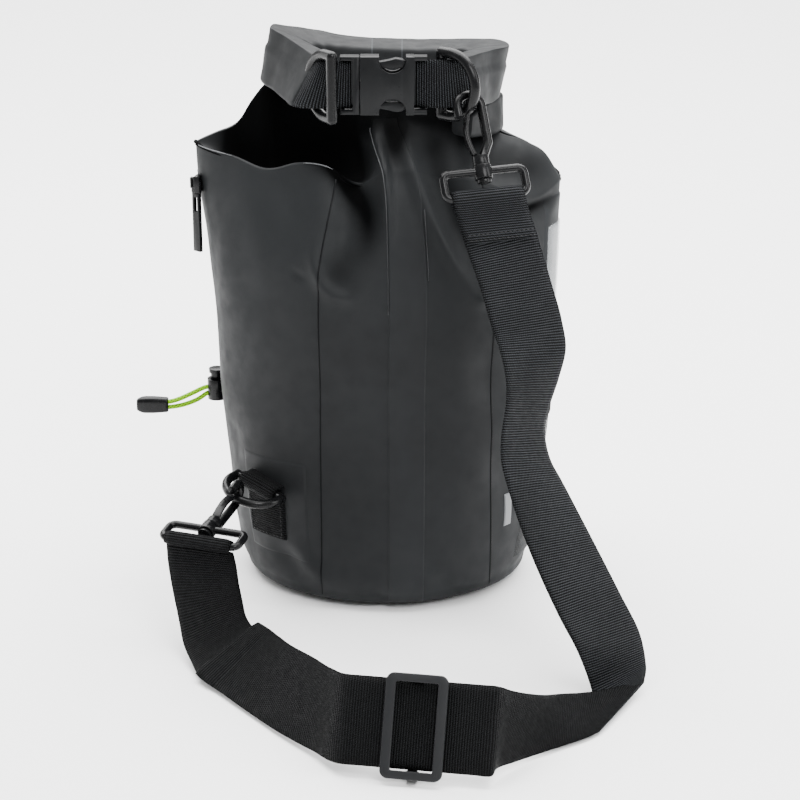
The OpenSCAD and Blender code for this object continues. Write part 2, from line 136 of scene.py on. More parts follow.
class Nodes:
    """Short ways to add and join shader nodes."""

    def __init__(self, name, base, rough, gloss=None):
        self.material = bpy.data.materials.new(name)
        self.material.use_nodes = True
        self.tree = self.material.node_tree
        self.shader = self.tree.nodes["Principled BSDF"]
        self.shader.inputs["Base Color"].default_value = (*base, 1)
        self.shader.inputs["Roughness"].default_value = rough
        if gloss is not None:
            self.shader.inputs["Specular IOR Level"].default_value = gloss

    def add(self, kind, **values):
        node = self.tree.nodes.new("ShaderNode" + kind)
        for key, value in values.items():
            if key in node.inputs:
                node.inputs[key].default_value = value
            else:
                setattr(node, key, value)
        return node

    def link(self, source, target):
        self.tree.links.new(source, target)

    def math(self, operation, a, b=None):
        node = self.add("Math", operation=operation)
        for i, value in enumerate((a, b)):
            if value is None:
                continue
            if isinstance(value, (int, float)):
                node.inputs[i].default_value = value
            else:
                self.link(value, node.inputs[i])
        return node.outputs[0]

    def noise(self, scale, detail=4.0):
        node = self.add("TexNoise", Scale=scale, Detail=detail)
        self.link(self.add("TexCoord").outputs["Object"], node.inputs["Vector"])
        return node.outputs["Fac"]

    def spread(self, value, low, high, start=0.3, stop=0.7):
        node = self.add("MapRange", **{
            "From Min": start, "From Max": stop, "To Min": low, "To Max": high})
        self.link(value, node.inputs["Value"])
        return node.outputs["Result"]

    def tint(self, factor, first, second):
        """Between a color, which may be a color socket, and a second fixed color."""
        node = self.add("Mix", data_type="RGBA")
        if isinstance(first, tuple):
            node.inputs[6].default_value = (*first, 1)
        else:
            self.link(first, node.inputs[6])
        node.inputs[7].default_value = (*second, 1)
        self.link(factor, node.inputs["Factor"])
        return node.outputs[2]

    def bump(self, height, distance, strength=1.0, below=None):
        node = self.add("Bump", Strength=strength, Distance=distance)
        self.link(height, node.inputs["Height"])
        if below is not None:
            self.link(below, node.inputs["Normal"])
        return node.outputs["Normal"]

    def uv(self):
        node = self.add("SeparateXYZ")
        self.link(self.add("TexCoord").outputs["UV"], node.inputs[0])
        return node.outputs["X"], node.outputs["Y"]

    def set(self, socket, value):
        self.link(value, self.shader.inputs[socket])

    def rough(self, scale, detail, low, high):
        self.set("Roughness", self.spread(self.noise(scale, detail), low, high))

    def relief(self, scale, detail, distance, strength):
        self.set("Normal", self.bump(self.noise(scale, detail), distance, strength))


def scaled(color, factor):
    return tuple(c * factor for c in color)


def floor_material():
    n = Nodes("floor_paint", (0.95, 0.95, 0.95), 0.75)
    n.rough(6, 4, 0.7, 0.8)
    return n.material


def coated_material(name, base, rough=0.5, painted_shade=False, gloss=0.22, seams=()):
    """Matte coated fabric: fine pebble grain, slow waviness, faint scuffs, sharp edges painted
    paler as a highlight.

    seams are places along UV Y that carry a paler line. Where chosen, the points' shade
    attribute is painted shade: it darkens the colour and takes the gloss away, for the deep folds.
    """
    n = Nodes(name, base, rough)
    grain = n.noise(1500, 3)
    soft = n.noise(26, 2)
    cloud = n.noise(9, 3)
    color = n.tint(n.spread(cloud, 0, 1), scaled(base, 0.8), scaled(base, 1.25))
    # Sharp edges painted paler: a painted highlight where the edges catch the light.
    wear_and_highlight = n.spread(n.add("NewGeometry").outputs["Pointiness"], 0, 1, 0.53, 0.6)
    color = n.tint(wear_and_highlight, color, scaled(base, 2.6))
    if seams:
        along = n.uv()[1]
        for place in seams:
            distance = n.math("ABSOLUTE", n.math("SUBTRACT", along, place))
            color = n.tint(n.spread(distance, 1, 0, 0.0001, 0.0004), color, scaled(base, 5))
    if painted_shade:
        # Painted shade: the shade attribute darkens the colour and takes the gloss away.
        shade = n.add("Attribute", attribute_name="shade").outputs["Fac"]
        color = n.tint(shade, color, scaled(base, 0.08))
        n.set("Specular IOR Level", n.spread(shade, gloss, 0.015, 0, 0.9))
    else:
        n.shader.inputs["Specular IOR Level"].default_value = gloss
    n.set("Base Color", color)
    n.rough(120, 5, rough - 0.07, rough + 0.09)
    fine = n.bump(grain, 0.00006, 0.5)
    n.set("Normal", n.bump(soft, 0.0016, 0.35, fine))
    return n.material


def webbing_material(name, base, crest_light=3.0):
    """Woven webbing: raised ribs across its length and fine yarns, with painted shade in the
    grooves and a painted highlight on the crests.
    """
    rib, yarn = 0.00128, 0.0011
    n = Nodes(name, base, 0.72, gloss=0.08)
    across, along = n.uv()
    wobble = n.math("MULTIPLY", n.noise(55, 2), 0.0006)
    ribs = n.math("SINE", n.math("MULTIPLY", n.math("ADD", along, wobble), TAU / rib))
    phase = n.math("MULTIPLY", along, TAU / (2 * rib))
    yarns = n.math("SINE", n.math("ADD", n.math("MULTIPLY", across, TAU / yarn), phase))
    height = n.math("ADD", ribs, n.math("MULTIPLY", yarns, 0.4))
    # Painted shade in the grooves and painted highlight on the rib crests, brighter for a larger
    # crest factor.
    groove = n.spread(height, 0, 1, -0.55, 1.25)
    wear_and_highlight = n.spread(n.noise(30, 4), 0.75, 1.25)
    mix = n.math("MULTIPLY", groove, wear_and_highlight)
    n.set("Base Color", n.tint(mix, scaled(base, 0.06), scaled(base, crest_light)))
    n.rough(300, 3, 0.6, 0.8)
    n.set("Normal", n.bump(height, 0.0004, 1.0))
    return n.material


def plastic_material(name, base, rough, grain=0.3, gloss=0.25):
    """Moulded plastic: faint texture, uneven gloss, sharp edges painted paler as a highlight."""
    n = Nodes(name, base, rough, gloss)
    # Painted highlight: sharp edges are made paler.
    edge = n.spread(n.add("NewGeometry").outputs["Pointiness"], 0, 1, 0.5, 0.6)
    n.set("Base Color", n.tint(edge, base, scaled(base, 1.6)))
    n.rough(220, 5, rough - 0.06, rough + 0.1)
    n.relief(2600, 2, 0.00003, grain)
    return n.material


def stitch_material(base):
    n = Nodes("stitching", base, 0.6)
    n.rough(900, 2, 0.5, 0.75)
    n.relief(4000, 2, 0.00004, 0.6)
    return n.material


def cord_material():
    """Braided lime cord, with painted shade between the strands and a painted highlight on their
    tops.
    """
    strands, pitch = 5, 0.0022
    n = Nodes("lime_braid", (0.35, 0.6, 0.005), 0.6, gloss=0.1)
    around, along = n.uv()
    turn = n.math("MULTIPLY", around, TAU * strands)
    run = n.math("MULTIPLY", along, TAU / pitch)
    one = n.math("SINE", n.math("ADD", turn, run))
    two = n.math("SINE", n.math("SUBTRACT", turn, run))
    height = n.math("MAXIMUM", one, two)
    # Painted shade in the dips of the braid and painted highlight on the strands.
    crest_light = n.spread(height, 0, 1, -0.4, 0.9)
    n.set("Base Color", n.tint(crest_light, (0.07, 0.17, 0.0), (0.22, 0.5, 0.0)))
    n.set("Normal", n.bump(height, 0.00012, 0.8))
    return n.material


def film_material():
    """Clear soft window film, hazy and lightly scuffed."""
    n = Nodes("window_film", (0.4, 0.42, 0.43), 0.18, gloss=0.8)
    n.set("Alpha", n.spread(n.noise(14, 4), 0.28, 0.6))
    n.set("Base Color", n.tint(n.noise(30, 3), (0.26, 0.275, 0.285), (0.5, 0.52, 0.53)))
    n.rough(40, 6, 0.1, 0.32)
    n.relief(22, 3, 0.002, 0.4)
    return n.material


def mesh_material():
    """Knitted mesh: a lattice of small open holes."""
    n = Nodes("knit_mesh", (0.016, 0.017, 0.018), 0.7)
    across, along = n.uv()
    pitch = 0.0022
    one, two = (
        n.math("SINE", n.math("MULTIPLY", n.math(operation, across, along), TAU / pitch))
        for operation in ("ADD", "SUBTRACT")
    )
    lattice = n.math("MULTIPLY", one, two)
    n.set("Alpha", n.math("LESS_THAN", lattice, 0.35))
    n.set("Normal", n.bump(lattice, 0.0002, 0.7))
    n.rough(300, 3, 0.6, 0.8)
    return n.material


# ---------------------------------------------------------------- geometry helpers


def smooth(x, xs, ys):
    """Smooth curve through a few given values."""
    xs, ys = np.asarray(xs, float), np.asarray(ys, float)
    x = np.clip(x, xs[0], xs[-1])
    slope = np.gradient(ys, xs)
    i = np.clip(np.searchsorted(xs, x) - 1, 0, len(xs) - 2)
    h = xs[i + 1] - xs[i]
    t = (x - xs[i]) / h
    a, b = ys[i], ys[i + 1]
    return (
        (2 * t**3 - 3 * t**2 + 1) * a
        + (t**3 - 2 * t**2 + t) * h * slope[i]
        + (3 * t**2 - 2 * t**3) * b
        + (t**3 - t**2) * h * slope[i + 1]
    )


def step(x, start, stop):
    t = np.clip((x - start) / (stop - start), 0, 1)
    return t * t * (3 - 2 * t)


def unit(v):
    v = np.asarray(v, float)
    return v / np.maximum(np.linalg.norm(v, axis=-1, keepdims=True), 1e-9)


def run_along(points):
    """Distance from the first point to each point of a path."""
    return np.concatenate([[0], np.cumsum(np.linalg.norm(np.diff(points, axis=0), axis=1))])


def through(s, run, points):
    """Points at the distances s on a smooth curve, given points at the distances run."""
    return np.stack([smooth(s, run, points[:, k]) for k in range(points.shape[1])], 1)


def circle(count):
    return np.arange(count) * TAU / count


def mesh_object(name, points, faces, material, uvs=None, flat=False):
    """Mesh from points in millimetres; uvs hold one pair per point."""
    mesh = bpy.data.meshes.new(name)
    mesh.from_pydata([tuple(p) for p in np.asarray(points) * MM], [], faces)
    if uvs is not None:
        layer = mesh.uv_layers.new(name="UVMap")
        flat_uv = np.asarray(uvs, float)[[v.vertex_index for v in mesh.loops]]
        layer.data.foreach_set("uv", flat_uv.reshape(-1))
    mesh.materials.append(material)
    mesh.polygons.foreach_set("use_smooth", [not flat] * len(mesh.polygons))
    obj = bpy.data.objects.new(name, mesh)
    bpy.context.scene.collection.objects.link(obj)
    return obj


def grid_faces(rows, cols, wrap=False):
    last = cols if wrap else cols - 1
    sides = [(j, (j + 1) % cols) for j in range(last)]
    return [(i + j, i + k, i + cols + k, i + cols + j)
            for i in range(0, (rows - 1) * cols, cols) for j, k in sides]


def turned(faces):
    return [f[::-1] for f in faces]


def shell_faces(faces, n, *borders):
    """Faces of a skin whose n outer points are followed by its inner ones, closed at borders."""
    faces = faces + [tuple(v + n for v in f) for f in turned(faces)]
    for loop in borders:
        faces += [(b, a, a + n, b + n) for a, b in zip(loop, loop[1:] + loop[:1])]
    return faces


def capped_grid(rows, cols):
    """Faces of a tube of points, in rings of cols points, with a face over each end."""
    first, last = tuple(range(cols)), tuple(range((rows - 1) * cols, rows * cols))
    return grid_faces(rows, cols, wrap=True) + [first[::-1], last]


def tube_rings(path, radius, sides=12):
    """Rings of points round a path, in millimetres."""
    path = np.asarray(path, float)
    radius = np.broadcast_to(radius, len(path))
    rings = []
    side = None
    for i, p in enumerate(path):
        d = unit(path[min(i + 1, len(path) - 1)] - path[max(i - 1, 0)])
        hint = np.array([0, 0, 1.0]) if side is None else side
        if side is None and abs(d @ hint) > 0.9:
            hint = np.array([0, 1.0, 0])
        side = unit(hint - (hint @ d) * d)
        other = np.cross(d, side)
        a = circle(sides)
        rings.append(p + radius[i] * (np.outer(np.cos(a), side) + np.outer(np.sin(a), other)))
    return rings


def rings_object(name, rings, along, material, inside_out=False):
    """Closed tube through rings of points; u runs round it and v is along, in metres."""
    rings = np.asarray(rings)
    rows, sides = rings.shape[:2]
    uvs = [(j / sides, v) for v in along for j in range(sides)]
    faces = capped_grid(rows, sides)
    faces = turned(faces) if inside_out else faces
    return mesh_object(name, rings.reshape(-1, 3), faces, material, uvs)


def tube(name, path, radius, material, sides=12):
    """Closed round tube along a path."""
    return rings_object(name, tube_rings(path, radius, sides), run_along(path) * MM, material)


def spline(points, count):
    """Evenly spread points on a smooth curve through a few given ones."""
    points = np.asarray(points, float)
    run = run_along(points)
    return through(np.linspace(0, run[-1], count), run, points)


def strip_profile(width, thick, across=14):
    """Outline of a flat band's cross-section: (across, out) pairs with rounded edges."""
    u = np.linspace(-1, 1, across)
    half = thick / 2 * np.sqrt(np.maximum(1 - np.abs(u) ** 10, 0.0))
    top = [(width / 2 * a, h) for a, h in zip(u, half)]
    low = [(width / 2 * a, -h) for a, h in zip(u[::-1], half[::-1])]
    return np.array(top[:-1] + low[:-1])


def ribbon(name, pairs, thick, material, step_mm=2.0, shift=0.0):
    """Webbing through given edge pairs, moved by shift along its normal.

    Also returns its frame: middle, direction across, normal and width at every step.
    """
    pairs = np.asarray(pairs, float)
    left, right = pairs[:, 0], pairs[:, 1]
    run = run_along((left + right) / 2)
    count = max(int(run[-1] / step_mm), 8)
    s = np.linspace(0, run[-1], count)
    a, b = through(s, run, left), through(s, run, right)
    mid = (a + b) / 2
    along = unit(np.gradient(mid, axis=0))
    across = unit(a - b)
    normal = unit(np.cross(along, across))
    width = np.linalg.norm(a - b, axis=1)
    profile = strip_profile(1.0, thick)
    points, uvs = [], []
    length = run_along(mid) * MM
    for i in range(count):
        for u, h in profile:
            points.append(mid[i] + across[i] * width[i] * u + normal[i] * (h + shift))
            uvs.append((u * width[i] * MM, length[i]))
    obj = mesh_object(name, points, capped_grid(count, len(profile)), material, uvs)
    return obj, (mid, across, normal, width)


def stitches(name, path, normals, material, pitch=2.6, length=1.7, radius=0.22):
    """A row of short thread stitches lying along a path."""
    path = np.asarray(path, float)
    run = run_along(path)
    points, faces = [], []
    for s in np.arange(pitch / 2, run[-1], pitch):
        ends = []
        for q in (s - length / 2, s, s + length / 2):
            p = np.array([np.interp(q, run, path[:, k]) for k in range(3)])
            n = unit(np.array([np.interp(q, run, normals[:, k]) for k in range(3)]))
            ends.append(p + n * (0.12 if q == s else -0.12))
        rings = tube_rings(ends, [radius * 0.6, radius, radius * 0.6], 6)
        base = len(points)
        points.extend(np.concatenate(rings))
        faces += [tuple(base + v for v in f) for f in capped_grid(3, 6)]
    return mesh_object(name, points, faces, material)


def finish_piece(obj, body, slot, *nodes):
    """Puts a piece on its body and hides the CAD nodes it stands for; the slot is not used."""
    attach(obj, body)
    if nodes:
        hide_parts(*nodes)
    return obj


def set_shade(obj, values):
    """Painted shade at each point, from 0 to 1, for the materials that paint shade from the shade
    attribute.
    """
    layer = obj.data.attributes.new("shade", "FLOAT", "POINT")
    layer.data.foreach_set("value", np.asarray(values, np.float32))


def softened(node, body, slot, material, bevel, shift=None, twist=0):
    """A hard part: the CAD node's own shape with its edges rounded, at most moved a little."""
    mesh = frame["nodes"][node].data.copy()
    mesh.materials.clear()
    mesh.materials.append(material)
    obj = bpy.data.objects.new(node + "_shape", mesh)
    bpy.context.scene.collection.objects.link(obj)
    weld = obj.modifiers.new("weld", "WELD")
    weld.merge_threshold = 0.00002
    rounding = obj.modifiers.new("rounding", "BEVEL")
    rounding.width = bevel * MM
    rounding.segments = 2
    rounding.limit_method = "ANGLE"
    rounding.angle_limit = math.radians(32)
    rounding.harden_normals = False
    chosen = dict(
        object=obj, active_object=obj, selected_objects=[obj], selected_editable_objects=[obj])
    with bpy.context.temp_override(**chosen):
        bpy.context.view_layer.objects.active = obj
        bpy.ops.object.modifier_apply(modifier="weld")
        bpy.ops.object.modifier_apply(modifier="rounding")
    obj.data.polygons.foreach_set("use_smooth", [True] * len(obj.data.polygons))
    with bpy.context.temp_override(**chosen):
        bpy.ops.object.shade_smooth_by_angle(angle=math.radians(40))
    if shift:
        low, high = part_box(node)
        middle = (low + high) / 2
        turn = Matrix.Rotation(math.radians(twist), 4, "Z")
        place = Matrix.Translation(Vector(shift) * MM + middle) @ turn
        obj.data.transform(place @ Matrix.Translation(-middle))
    return finish_piece(obj, body, slot, node)


# ---------------------------------------------------------------- body

WALL_Z = [0, 3, 10, 30, 68, 105, 156, 200, 226, 247]
WALL_LEFT = [70, 77, 81.5, 86, 89.8, 93.3, 95, 99.6, 103.3, 104.3]
WALL_RIGHT = [70, 76, 79, 84, 88, 91, 92.5, 93.5, 94.8, 95.5]
WALL_DEPTH = [60, 67, 71.5, 72, 70, 66, 63, 57, 48, 39]
WALL_MIDDLE = [0, 0, 0, 0, 0, 0, 0, 0, 1, 2]
COLUMNS = 420
WALL_ROWS = 190
YOKE_ROWS = 60
# The spacing of the rows changes a little with height
ROW_POWER = 0.9
# Rows to each millimetre of height above the shoulder fold
ROWS_PER_MM = 1.6
FABRIC_THICK = 1.1
TIP_LEFT, TIP_RIGHT = 104, 93

# Height of the shoulder fold along the front, left tip to right tip, and along the back
RIM_X = [-104, -83, -66, -48, -32, -18, -8, 10, 30, 50, 66, 80, 93]
RIM_FRONT = [247, 244.5, 239.5, 243.5, 243, 240, 239, 240, 239, 234, 226, 222, 227]
RIM_BACK = [247, 250, 252, 253, 253, 253, 253, 253, 252, 249, 244, 236, 227]
# Where the fabric goes in under the roll: sideways place, height, and depth on the front and back
NECK_FROM = [-104, -94, -84, -76, -68, -52, -30, -12, 10, 30, 50, 66, 80, 88, 93]
NECK_X = [-104, -93, -81, -73, -65, -56, -34, -13, 8, 28, 47, 62, 77, 87, 93.6]
NECK_Z = [247.3, 252.5, 258.5, 271, 281, 276, 268, 268, 268, 268, 262, 252.5, 247, 240, 229]
NECK_FRONT = [0, -1, -2, -4, -7, -5, -7, -9.5, -9.5, -9.5, -6, -2, 0, 0, 0]
NECK_BACK = [0, -1, -2, -4, -7, 4, 14, 16, 16, 16, 12, 4, 0, 0, 0]
# How far the pocket behind the shoulder fold hangs down
DIP_X = [-104, -92, -80, -64, -46, -30, -18, -8, 4, 30, 50, 64, 78, 88, 93]
DIP_FRONT = [0, 6, 19, 27, 27, 21, 11, 3, -1, 1, 2, -1, -3, -2, 0]

# Creases on the front: places (x, z), half width, height outwards (negative sinks in)
CREASES = [
    ([(-9, 270), (-5, 254), (-1, 238), (0.3, 224), (0.4, 200)], 3.0, 4.6),
    ([(-18, 262), (-14, 245), (-10, 226), (-12, 202)], 7.5, -6.5),
    ([(-22, 246), (-21, 222), (-23, 202), (-25, 184)], 8.5, -5.0),
    ([(-38, 206), (-38, 192), (-31, 180), (-20, 177), (-8, 190)], 3.8, 2.6),
    ([(8, 262), (16, 236), (28, 208), (42, 184), (52, 170)], 4.0, 3.4),
    ([(24, 262), (31, 236), (40, 212), (50, 192), (58, 180)], 9.0, -7.0),
    ([(46, 176), (53, 173), (60, 180)], 4.0, 2.0),
    ([(70, 234), (66, 214), (66, 190)], 8.0, 2.5),
    ([(60, 219), (76, 216.5), (96, 220)], 3.2, -3.2),
    ([(-98, 222), (-90, 200), (-85, 172), (-84, 140)], 9.0, 1.5),
    ([(-74, 236), (-68, 205), (-63, 175)], 12.0, 1.4),
    ([(-56, 240), (-50, 222), (-48, 200)], 8.0, -1.6),
    ([(-50, 190), (-46, 187), (-42, 187)], 2.0, -0.9),
    ([(-62, 34), (-50, 18), (-38, 6)], 6.0, -1.8),
    ([(-52, 38), (-40, 22), (-28, 10)], 5.0, 1.6),
    ([(-8, 14), (-2, 6), (2, 2)], 4.0, -1.2),
    ([(24, 24), (38, 10), (52, 5)], 6.0, -1.6),
    ([(62, 88), (66, 70), (66, 48)], 8.0, -1.8),
    ([(50, 150), (58, 120), (60, 96)], 9.0, -1.6),
    ([(-90, 100), (-84, 80), (-84, 60)], 6.0, -1.2),
]
# Painted shade in deep folds on the front: path, half width, strength
FOLD_SHADE = [
    ([(-30, 246), (-20, 237), (-12, 224), (-10, 206), (-13, 190)], 6.5, 0.95),
    ([(-40, 246), (-28, 240), (-20, 228), (-18, 210)], 5.0, 0.5),
    ([(26, 250), (34, 230), (44, 208), (54, 190)], 6.0, 0.62),
    ([(60, 219), (76, 217), (97, 221)], 3.2, 0.95),
    ([(10, 262), (30, 262), (50, 256)], 9.0, 0.7),
    ([(0, 270), (2, 260), (5, 246), (8, 234)], 9.0, 0.9),
    ([(56, 242), (76, 237), (93, 232)], 8.0, 0.6),
    ([(-24, 196), (-26, 188), (-28, 182)], 8.0, 0.4),
]


def either(chosen, x, marks, one, other):
    """Smooth curve through one where chosen holds, and through the other elsewhere."""
    return np.where(chosen, smooth(x, marks, one), smooth(x, marks, other))


def wall_point(phi, z):
    """Undisturbed wall of the bag; phi runs round it, 180 to 360 degrees across the front."""
    c, s = np.cos(phi), np.sin(phi)
    half_width = either(c < 0, z, WALL_Z, WALL_LEFT, WALL_RIGHT)
    # Higher up the section is squeezed to points at its two sides
    pinch = 1 + 0.3 * step(z, 150, 245)
    depth = smooth(z, WALL_Z, WALL_DEPTH) * np.sign(s) * np.abs(s) ** pinch
    return np.stack([half_width * c, smooth(z, WALL_Z, WALL_MIDDLE) + depth, z + 0 * c], -1)


def line_field(x, z, lines, at_start=0.3):
    """Sum of soft lines on the front, each with a path, a half width and a strength.

    A line begins at the share at_start of its strength and fades out at its other end.
    """
    total = np.zeros_like(x)
    for path, half_width, height in lines:
        path = spline(path, 20)
        best = np.full(x.shape, 1e9)
        place = np.zeros_like(x)
        for k, (a, b) in enumerate(zip(path, path[1:])):
            along = b - a
            t = np.clip(((x - a[0]) * along[0] + (z - a[1]) * along[1]) / (along @ along), 0, 1)
            distance = np.hypot(x - a[0] - t * along[0], z - a[1] - t * along[1])
            nearer = distance < best
            best = np.where(nearer, distance, best)
            place = np.where(nearer, (k + t) / (len(path) - 1), place)
        fade = at_start + (1 - at_start) * step(place, -0.02, 0.3)
        fade = fade * (1 - step(place, 0.5, 1.04))
        total += height * fade * np.exp(-((best / half_width) ** 2))
    return total


def slow_noise(points, scale, seed):
    """Gentle waves from a few sines, the same every run."""
    rng = np.random.default_rng(seed)
    total, waves = np.zeros(points.shape[:-1]), 7
    for _ in range(waves):
        direction = unit(rng.normal(size=3)) * rng.uniform(0.6, 1.6) / scale
        total += np.sin(points @ direction * TAU + rng.uniform(0, TAU))
    return total / waves


def grid_normals(points):
    down = np.gradient(points, axis=0)
    ends = np.concatenate([points[:, -1:], points, points[:, :1]], 1)
    round_ = (ends[:, 2:] - ends[:, :-2]) / 2
    return unit(np.cross(round_, down))


def softened_rows(normals):
    """Normals blurred up and down the wall, so that the sharp shoulder fold moves as one."""
    passes = 40
    for _ in range(passes):
        ends = np.concatenate([normals[:1], normals, normals[-1:]])
        normals = (ends[:-2] + 2 * normals + ends[2:]) / 4
    return unit(normals)


def bag_surface():
    """Grid of points from the base, up the wall, over the shoulder fold and in under the roll.

    Also returns how dark each point is painted as shade, and the height of the shoulder fold round
    the bag.
    """
    phi = circle(COLUMNS)
    c, s = np.cos(phi), np.sin(phi)
    nominal = np.where(c < 0, TIP_LEFT * c, TIP_RIGHT * c)
    front = s < 0
    rim = either(front, nominal, RIM_X, RIM_FRONT, RIM_BACK)
    rows = [wall_point(phi, rim * f) for f in np.linspace(0, 1, WALL_ROWS) ** ROW_POWER]
    edge = rows[-1]
    neck = np.stack([
        smooth(nominal, NECK_FROM, NECK_X),
        either(front, nominal, NECK_FROM, NECK_FRONT, NECK_BACK),
        smooth(nominal, NECK_FROM, NECK_Z)], -1)
    dip = np.where(front, smooth(nominal, DIP_X, DIP_FRONT), -2.5 * np.abs(s))
    shade = [np.zeros(COLUMNS)] * WALL_ROWS
    for t in np.linspace(0, 1, YOKE_ROWS + 1)[1:]:
        row = edge * (1 - t) + neck * t
        row[:, 2] -= dip * 4 * t * (1 - t)
        rows.append(row)
        # Painted shade: the pocket behind the shoulder fold and the fabric going in under the roll
        # are darkened.
        inward = np.full(COLUMNS, t)
        pocket = np.clip(dip / 9, 0, 1) * step(inward, 0.0, 0.22)
        shade_under_roll = step(inward, 0.3, 0.85) * 0.93 * (1 - step(np.abs(nominal), 50, 70))
        shade.append(np.clip(np.maximum(pocket, shade_under_roll), 0, 1) * front)
    points = np.stack(rows)
    x, y, z = np.moveaxis(points, -1, 0)
    # Painted shade in the deep folds on the front.
    folds = line_field(x, z, FOLD_SHADE, 0.8) * (y < 5)
    shade = np.clip(np.maximum(np.stack(shade), folds), 0, 1)
    facing = step(-y + smooth(z, WALL_Z, WALL_MIDDLE), 2, 16)
    waves = 0.9 * slow_noise(points, 95, 3) + 0.35 * slow_noise(points, 34, 5)
    offset = line_field(x, z, CREASES) * facing + waves * step(z, 3, 25)
    offset *= 1 - 0.7 * step(np.arange(len(points))[:, None] / WALL_ROWS, 1.0, 1.3)
    normals = softened_rows(grid_normals(points))
    return points + normals * offset[..., None], shade, rim


class Skin:
    """The bag's outer surface, and panels laid on it."""

    def __init__(self):
        self.points, self.shade, self.rim = bag_surface()
        self.normals = grid_normals(self.points)

    def sample(self, grid, phi, z):
        """Value of a grid at angle phi and height z; above the fold it goes on under the roll."""
        col = (phi % TAU) / TAU * COLUMNS
        j = np.floor(col).astype(int) % COLUMNS
        u = (col - np.floor(col))[..., None]
        k = (j + 1) % COLUMNS
        rim = self.rim[j] * (1 - u[..., 0]) + self.rim[k] * u[..., 0]
        row = np.clip(z / rim, 0, 1) ** (1 / ROW_POWER) * (WALL_ROWS - 1)
        row = row + np.maximum(z - rim, 0) * ROWS_PER_MM
        i = np.clip(np.floor(row).astype(int), 0, WALL_ROWS + YOKE_ROWS - 2)
        v = (row - i)[..., None]
        low, high = (grid[r, j] * (1 - u) + grid[r, k] * u for r in (i, i + 1))
        return low * (1 - v) + high * v

    def at(self, phi, z, off=0.0):
        """Point on the wall at angle phi and height z, moved out by off."""
        phi, z, off = np.broadcast_arrays(phi, z, off)
        normal = unit(self.sample(self.normals, phi, z))
        return self.sample(self.points, phi, z) + normal * off[..., None]

    def shade_at(self, phi, z):
        return self.sample(self.shade[..., None], phi, z)[..., 0]

    def front_angle(self, x, z):
        """Angle of the front wall at sideways place x."""
        half_width = either(x < 0, z, WALL_Z, WALL_LEFT, WALL_RIGHT)
        return TAU - np.arccos(np.clip(x / half_width, -0.999, 0.999))


def panel(name, skin, angles, heights, thick, material, lift=0.25, edge=2.0):
    """Panel welded to the wall, its borders sloping down to it.

    angles(t, z) gives the angle at the share t across it, and heights its rows.
    """
    rows, cols = len(heights), 60
    sunk, under = -0.35, -0.6
    grid_t, grid_z = np.meshgrid(np.linspace(0, 1, cols), heights)
    phi = angles(grid_t, grid_z)
    flat = skin.at(phi, grid_z)
    width = np.linalg.norm(np.diff(flat, axis=1), axis=-1).sum(1, keepdims=True)
    from_side = np.minimum(grid_t, 1 - grid_t) * width
    run = run_along(flat[:, cols // 2])
    from_end = np.minimum(run, run[-1] - run)[:, None]
    rise = step(np.minimum(from_side, from_end), -0.01, edge)
    top = skin.at(phi, grid_z, sunk + (lift + thick - sunk) * rise)
    low = skin.at(phi, grid_z, under)
    across = (grid_t - 0.5) * width * MM
    along = np.broadcast_to(run[:, None] * MM, across.shape)
    uvs = np.stack([across, along], -1).reshape(-1, 2)
    n = rows * cols
    border = (
        list(range(cols - 1)) + list(range(cols - 1, n - 1, cols))
        + list(range(n - 1, n - cols, -1)) + list(range(n - cols, 0, -cols)))
    faces = shell_faces(grid_faces(rows, cols), n, border)
    points = np.concatenate([top.reshape(-1, 3), low.reshape(-1, 3)])
    obj = mesh_object(name, points, faces, material, np.concatenate([uvs, uvs]))
    # Painted shade, taken from the wall beneath the panel.
    set_shade(obj, np.tile(skin.shade_at(phi, grid_z).reshape(-1), 2))
    return obj


def make_body(skin, materials):
    rows, cols = skin.points.shape[:2]
    inner = skin.points - softened_rows(skin.normals) * FABRIC_THICK
    n = rows * cols
    faces = shell_faces(
        turned(grid_faces(rows, cols, wrap=True)), n,
        list(range(cols))[::-1], list(range(n - cols, n)))
    points = np.concatenate([skin.points.reshape(-1, 3), inner.reshape(-1, 3)])
    body = mesh_object("bag_fabric", points, faces, materials["fabric"])
    # Painted shade: the outer face takes the wall's, and the inner face is painted fully dark.
    set_shade(body, np.concatenate([skin.shade.reshape(-1), np.ones(n)]))
    finish_piece(body, "bag", "coated_fabric", "body_shell")

    # Round base with a shallow rise in its middle and a welded ring
    rings, cols, radius_x, radius_y, thick = 14, 96, 69.6, 59.6, 1.0
    a = circle(cols)
    points = []
    for r in np.linspace(0.02, 1, rings):
        up = 1.2 * (1 - r**2) + 0.4 * np.exp(-(((r - 0.93) / 0.03) ** 2))
        ring = radius_x * r * np.cos(a), radius_y * r * np.sin(a), np.full(cols, up)
        points.append(np.stack(ring, -1))
    points = np.concatenate(points)
    n = len(points)
    faces = shell_faces(grid_faces(rings, cols, wrap=True), n, list(range(n - cols, n))[::-1])
    faces += [tuple(range(cols))[::-1], tuple(range(n, n + cols))]
    points = np.concatenate([points, points + [0, 0, thick]])
    base = mesh_object("base_disc", points, faces, materials["fabric"])
    finish_piece(base, "bag", "coated_fabric", "base_panel")


def by_x(skin, left, right):
    """Angles for a panel between two sideways places, each a list through the heights."""
    z_marks = [0, 40, 120, 200, 235, 266]

    def angles(t, z):
        x = smooth(z, z_marks, left) * (1 - t) + smooth(z, z_marks, right) * t
        return skin.front_angle(x, z)

    return angles


def by_angle(start, stop):
    return lambda t, z: np.radians(start + (stop - start) * t)


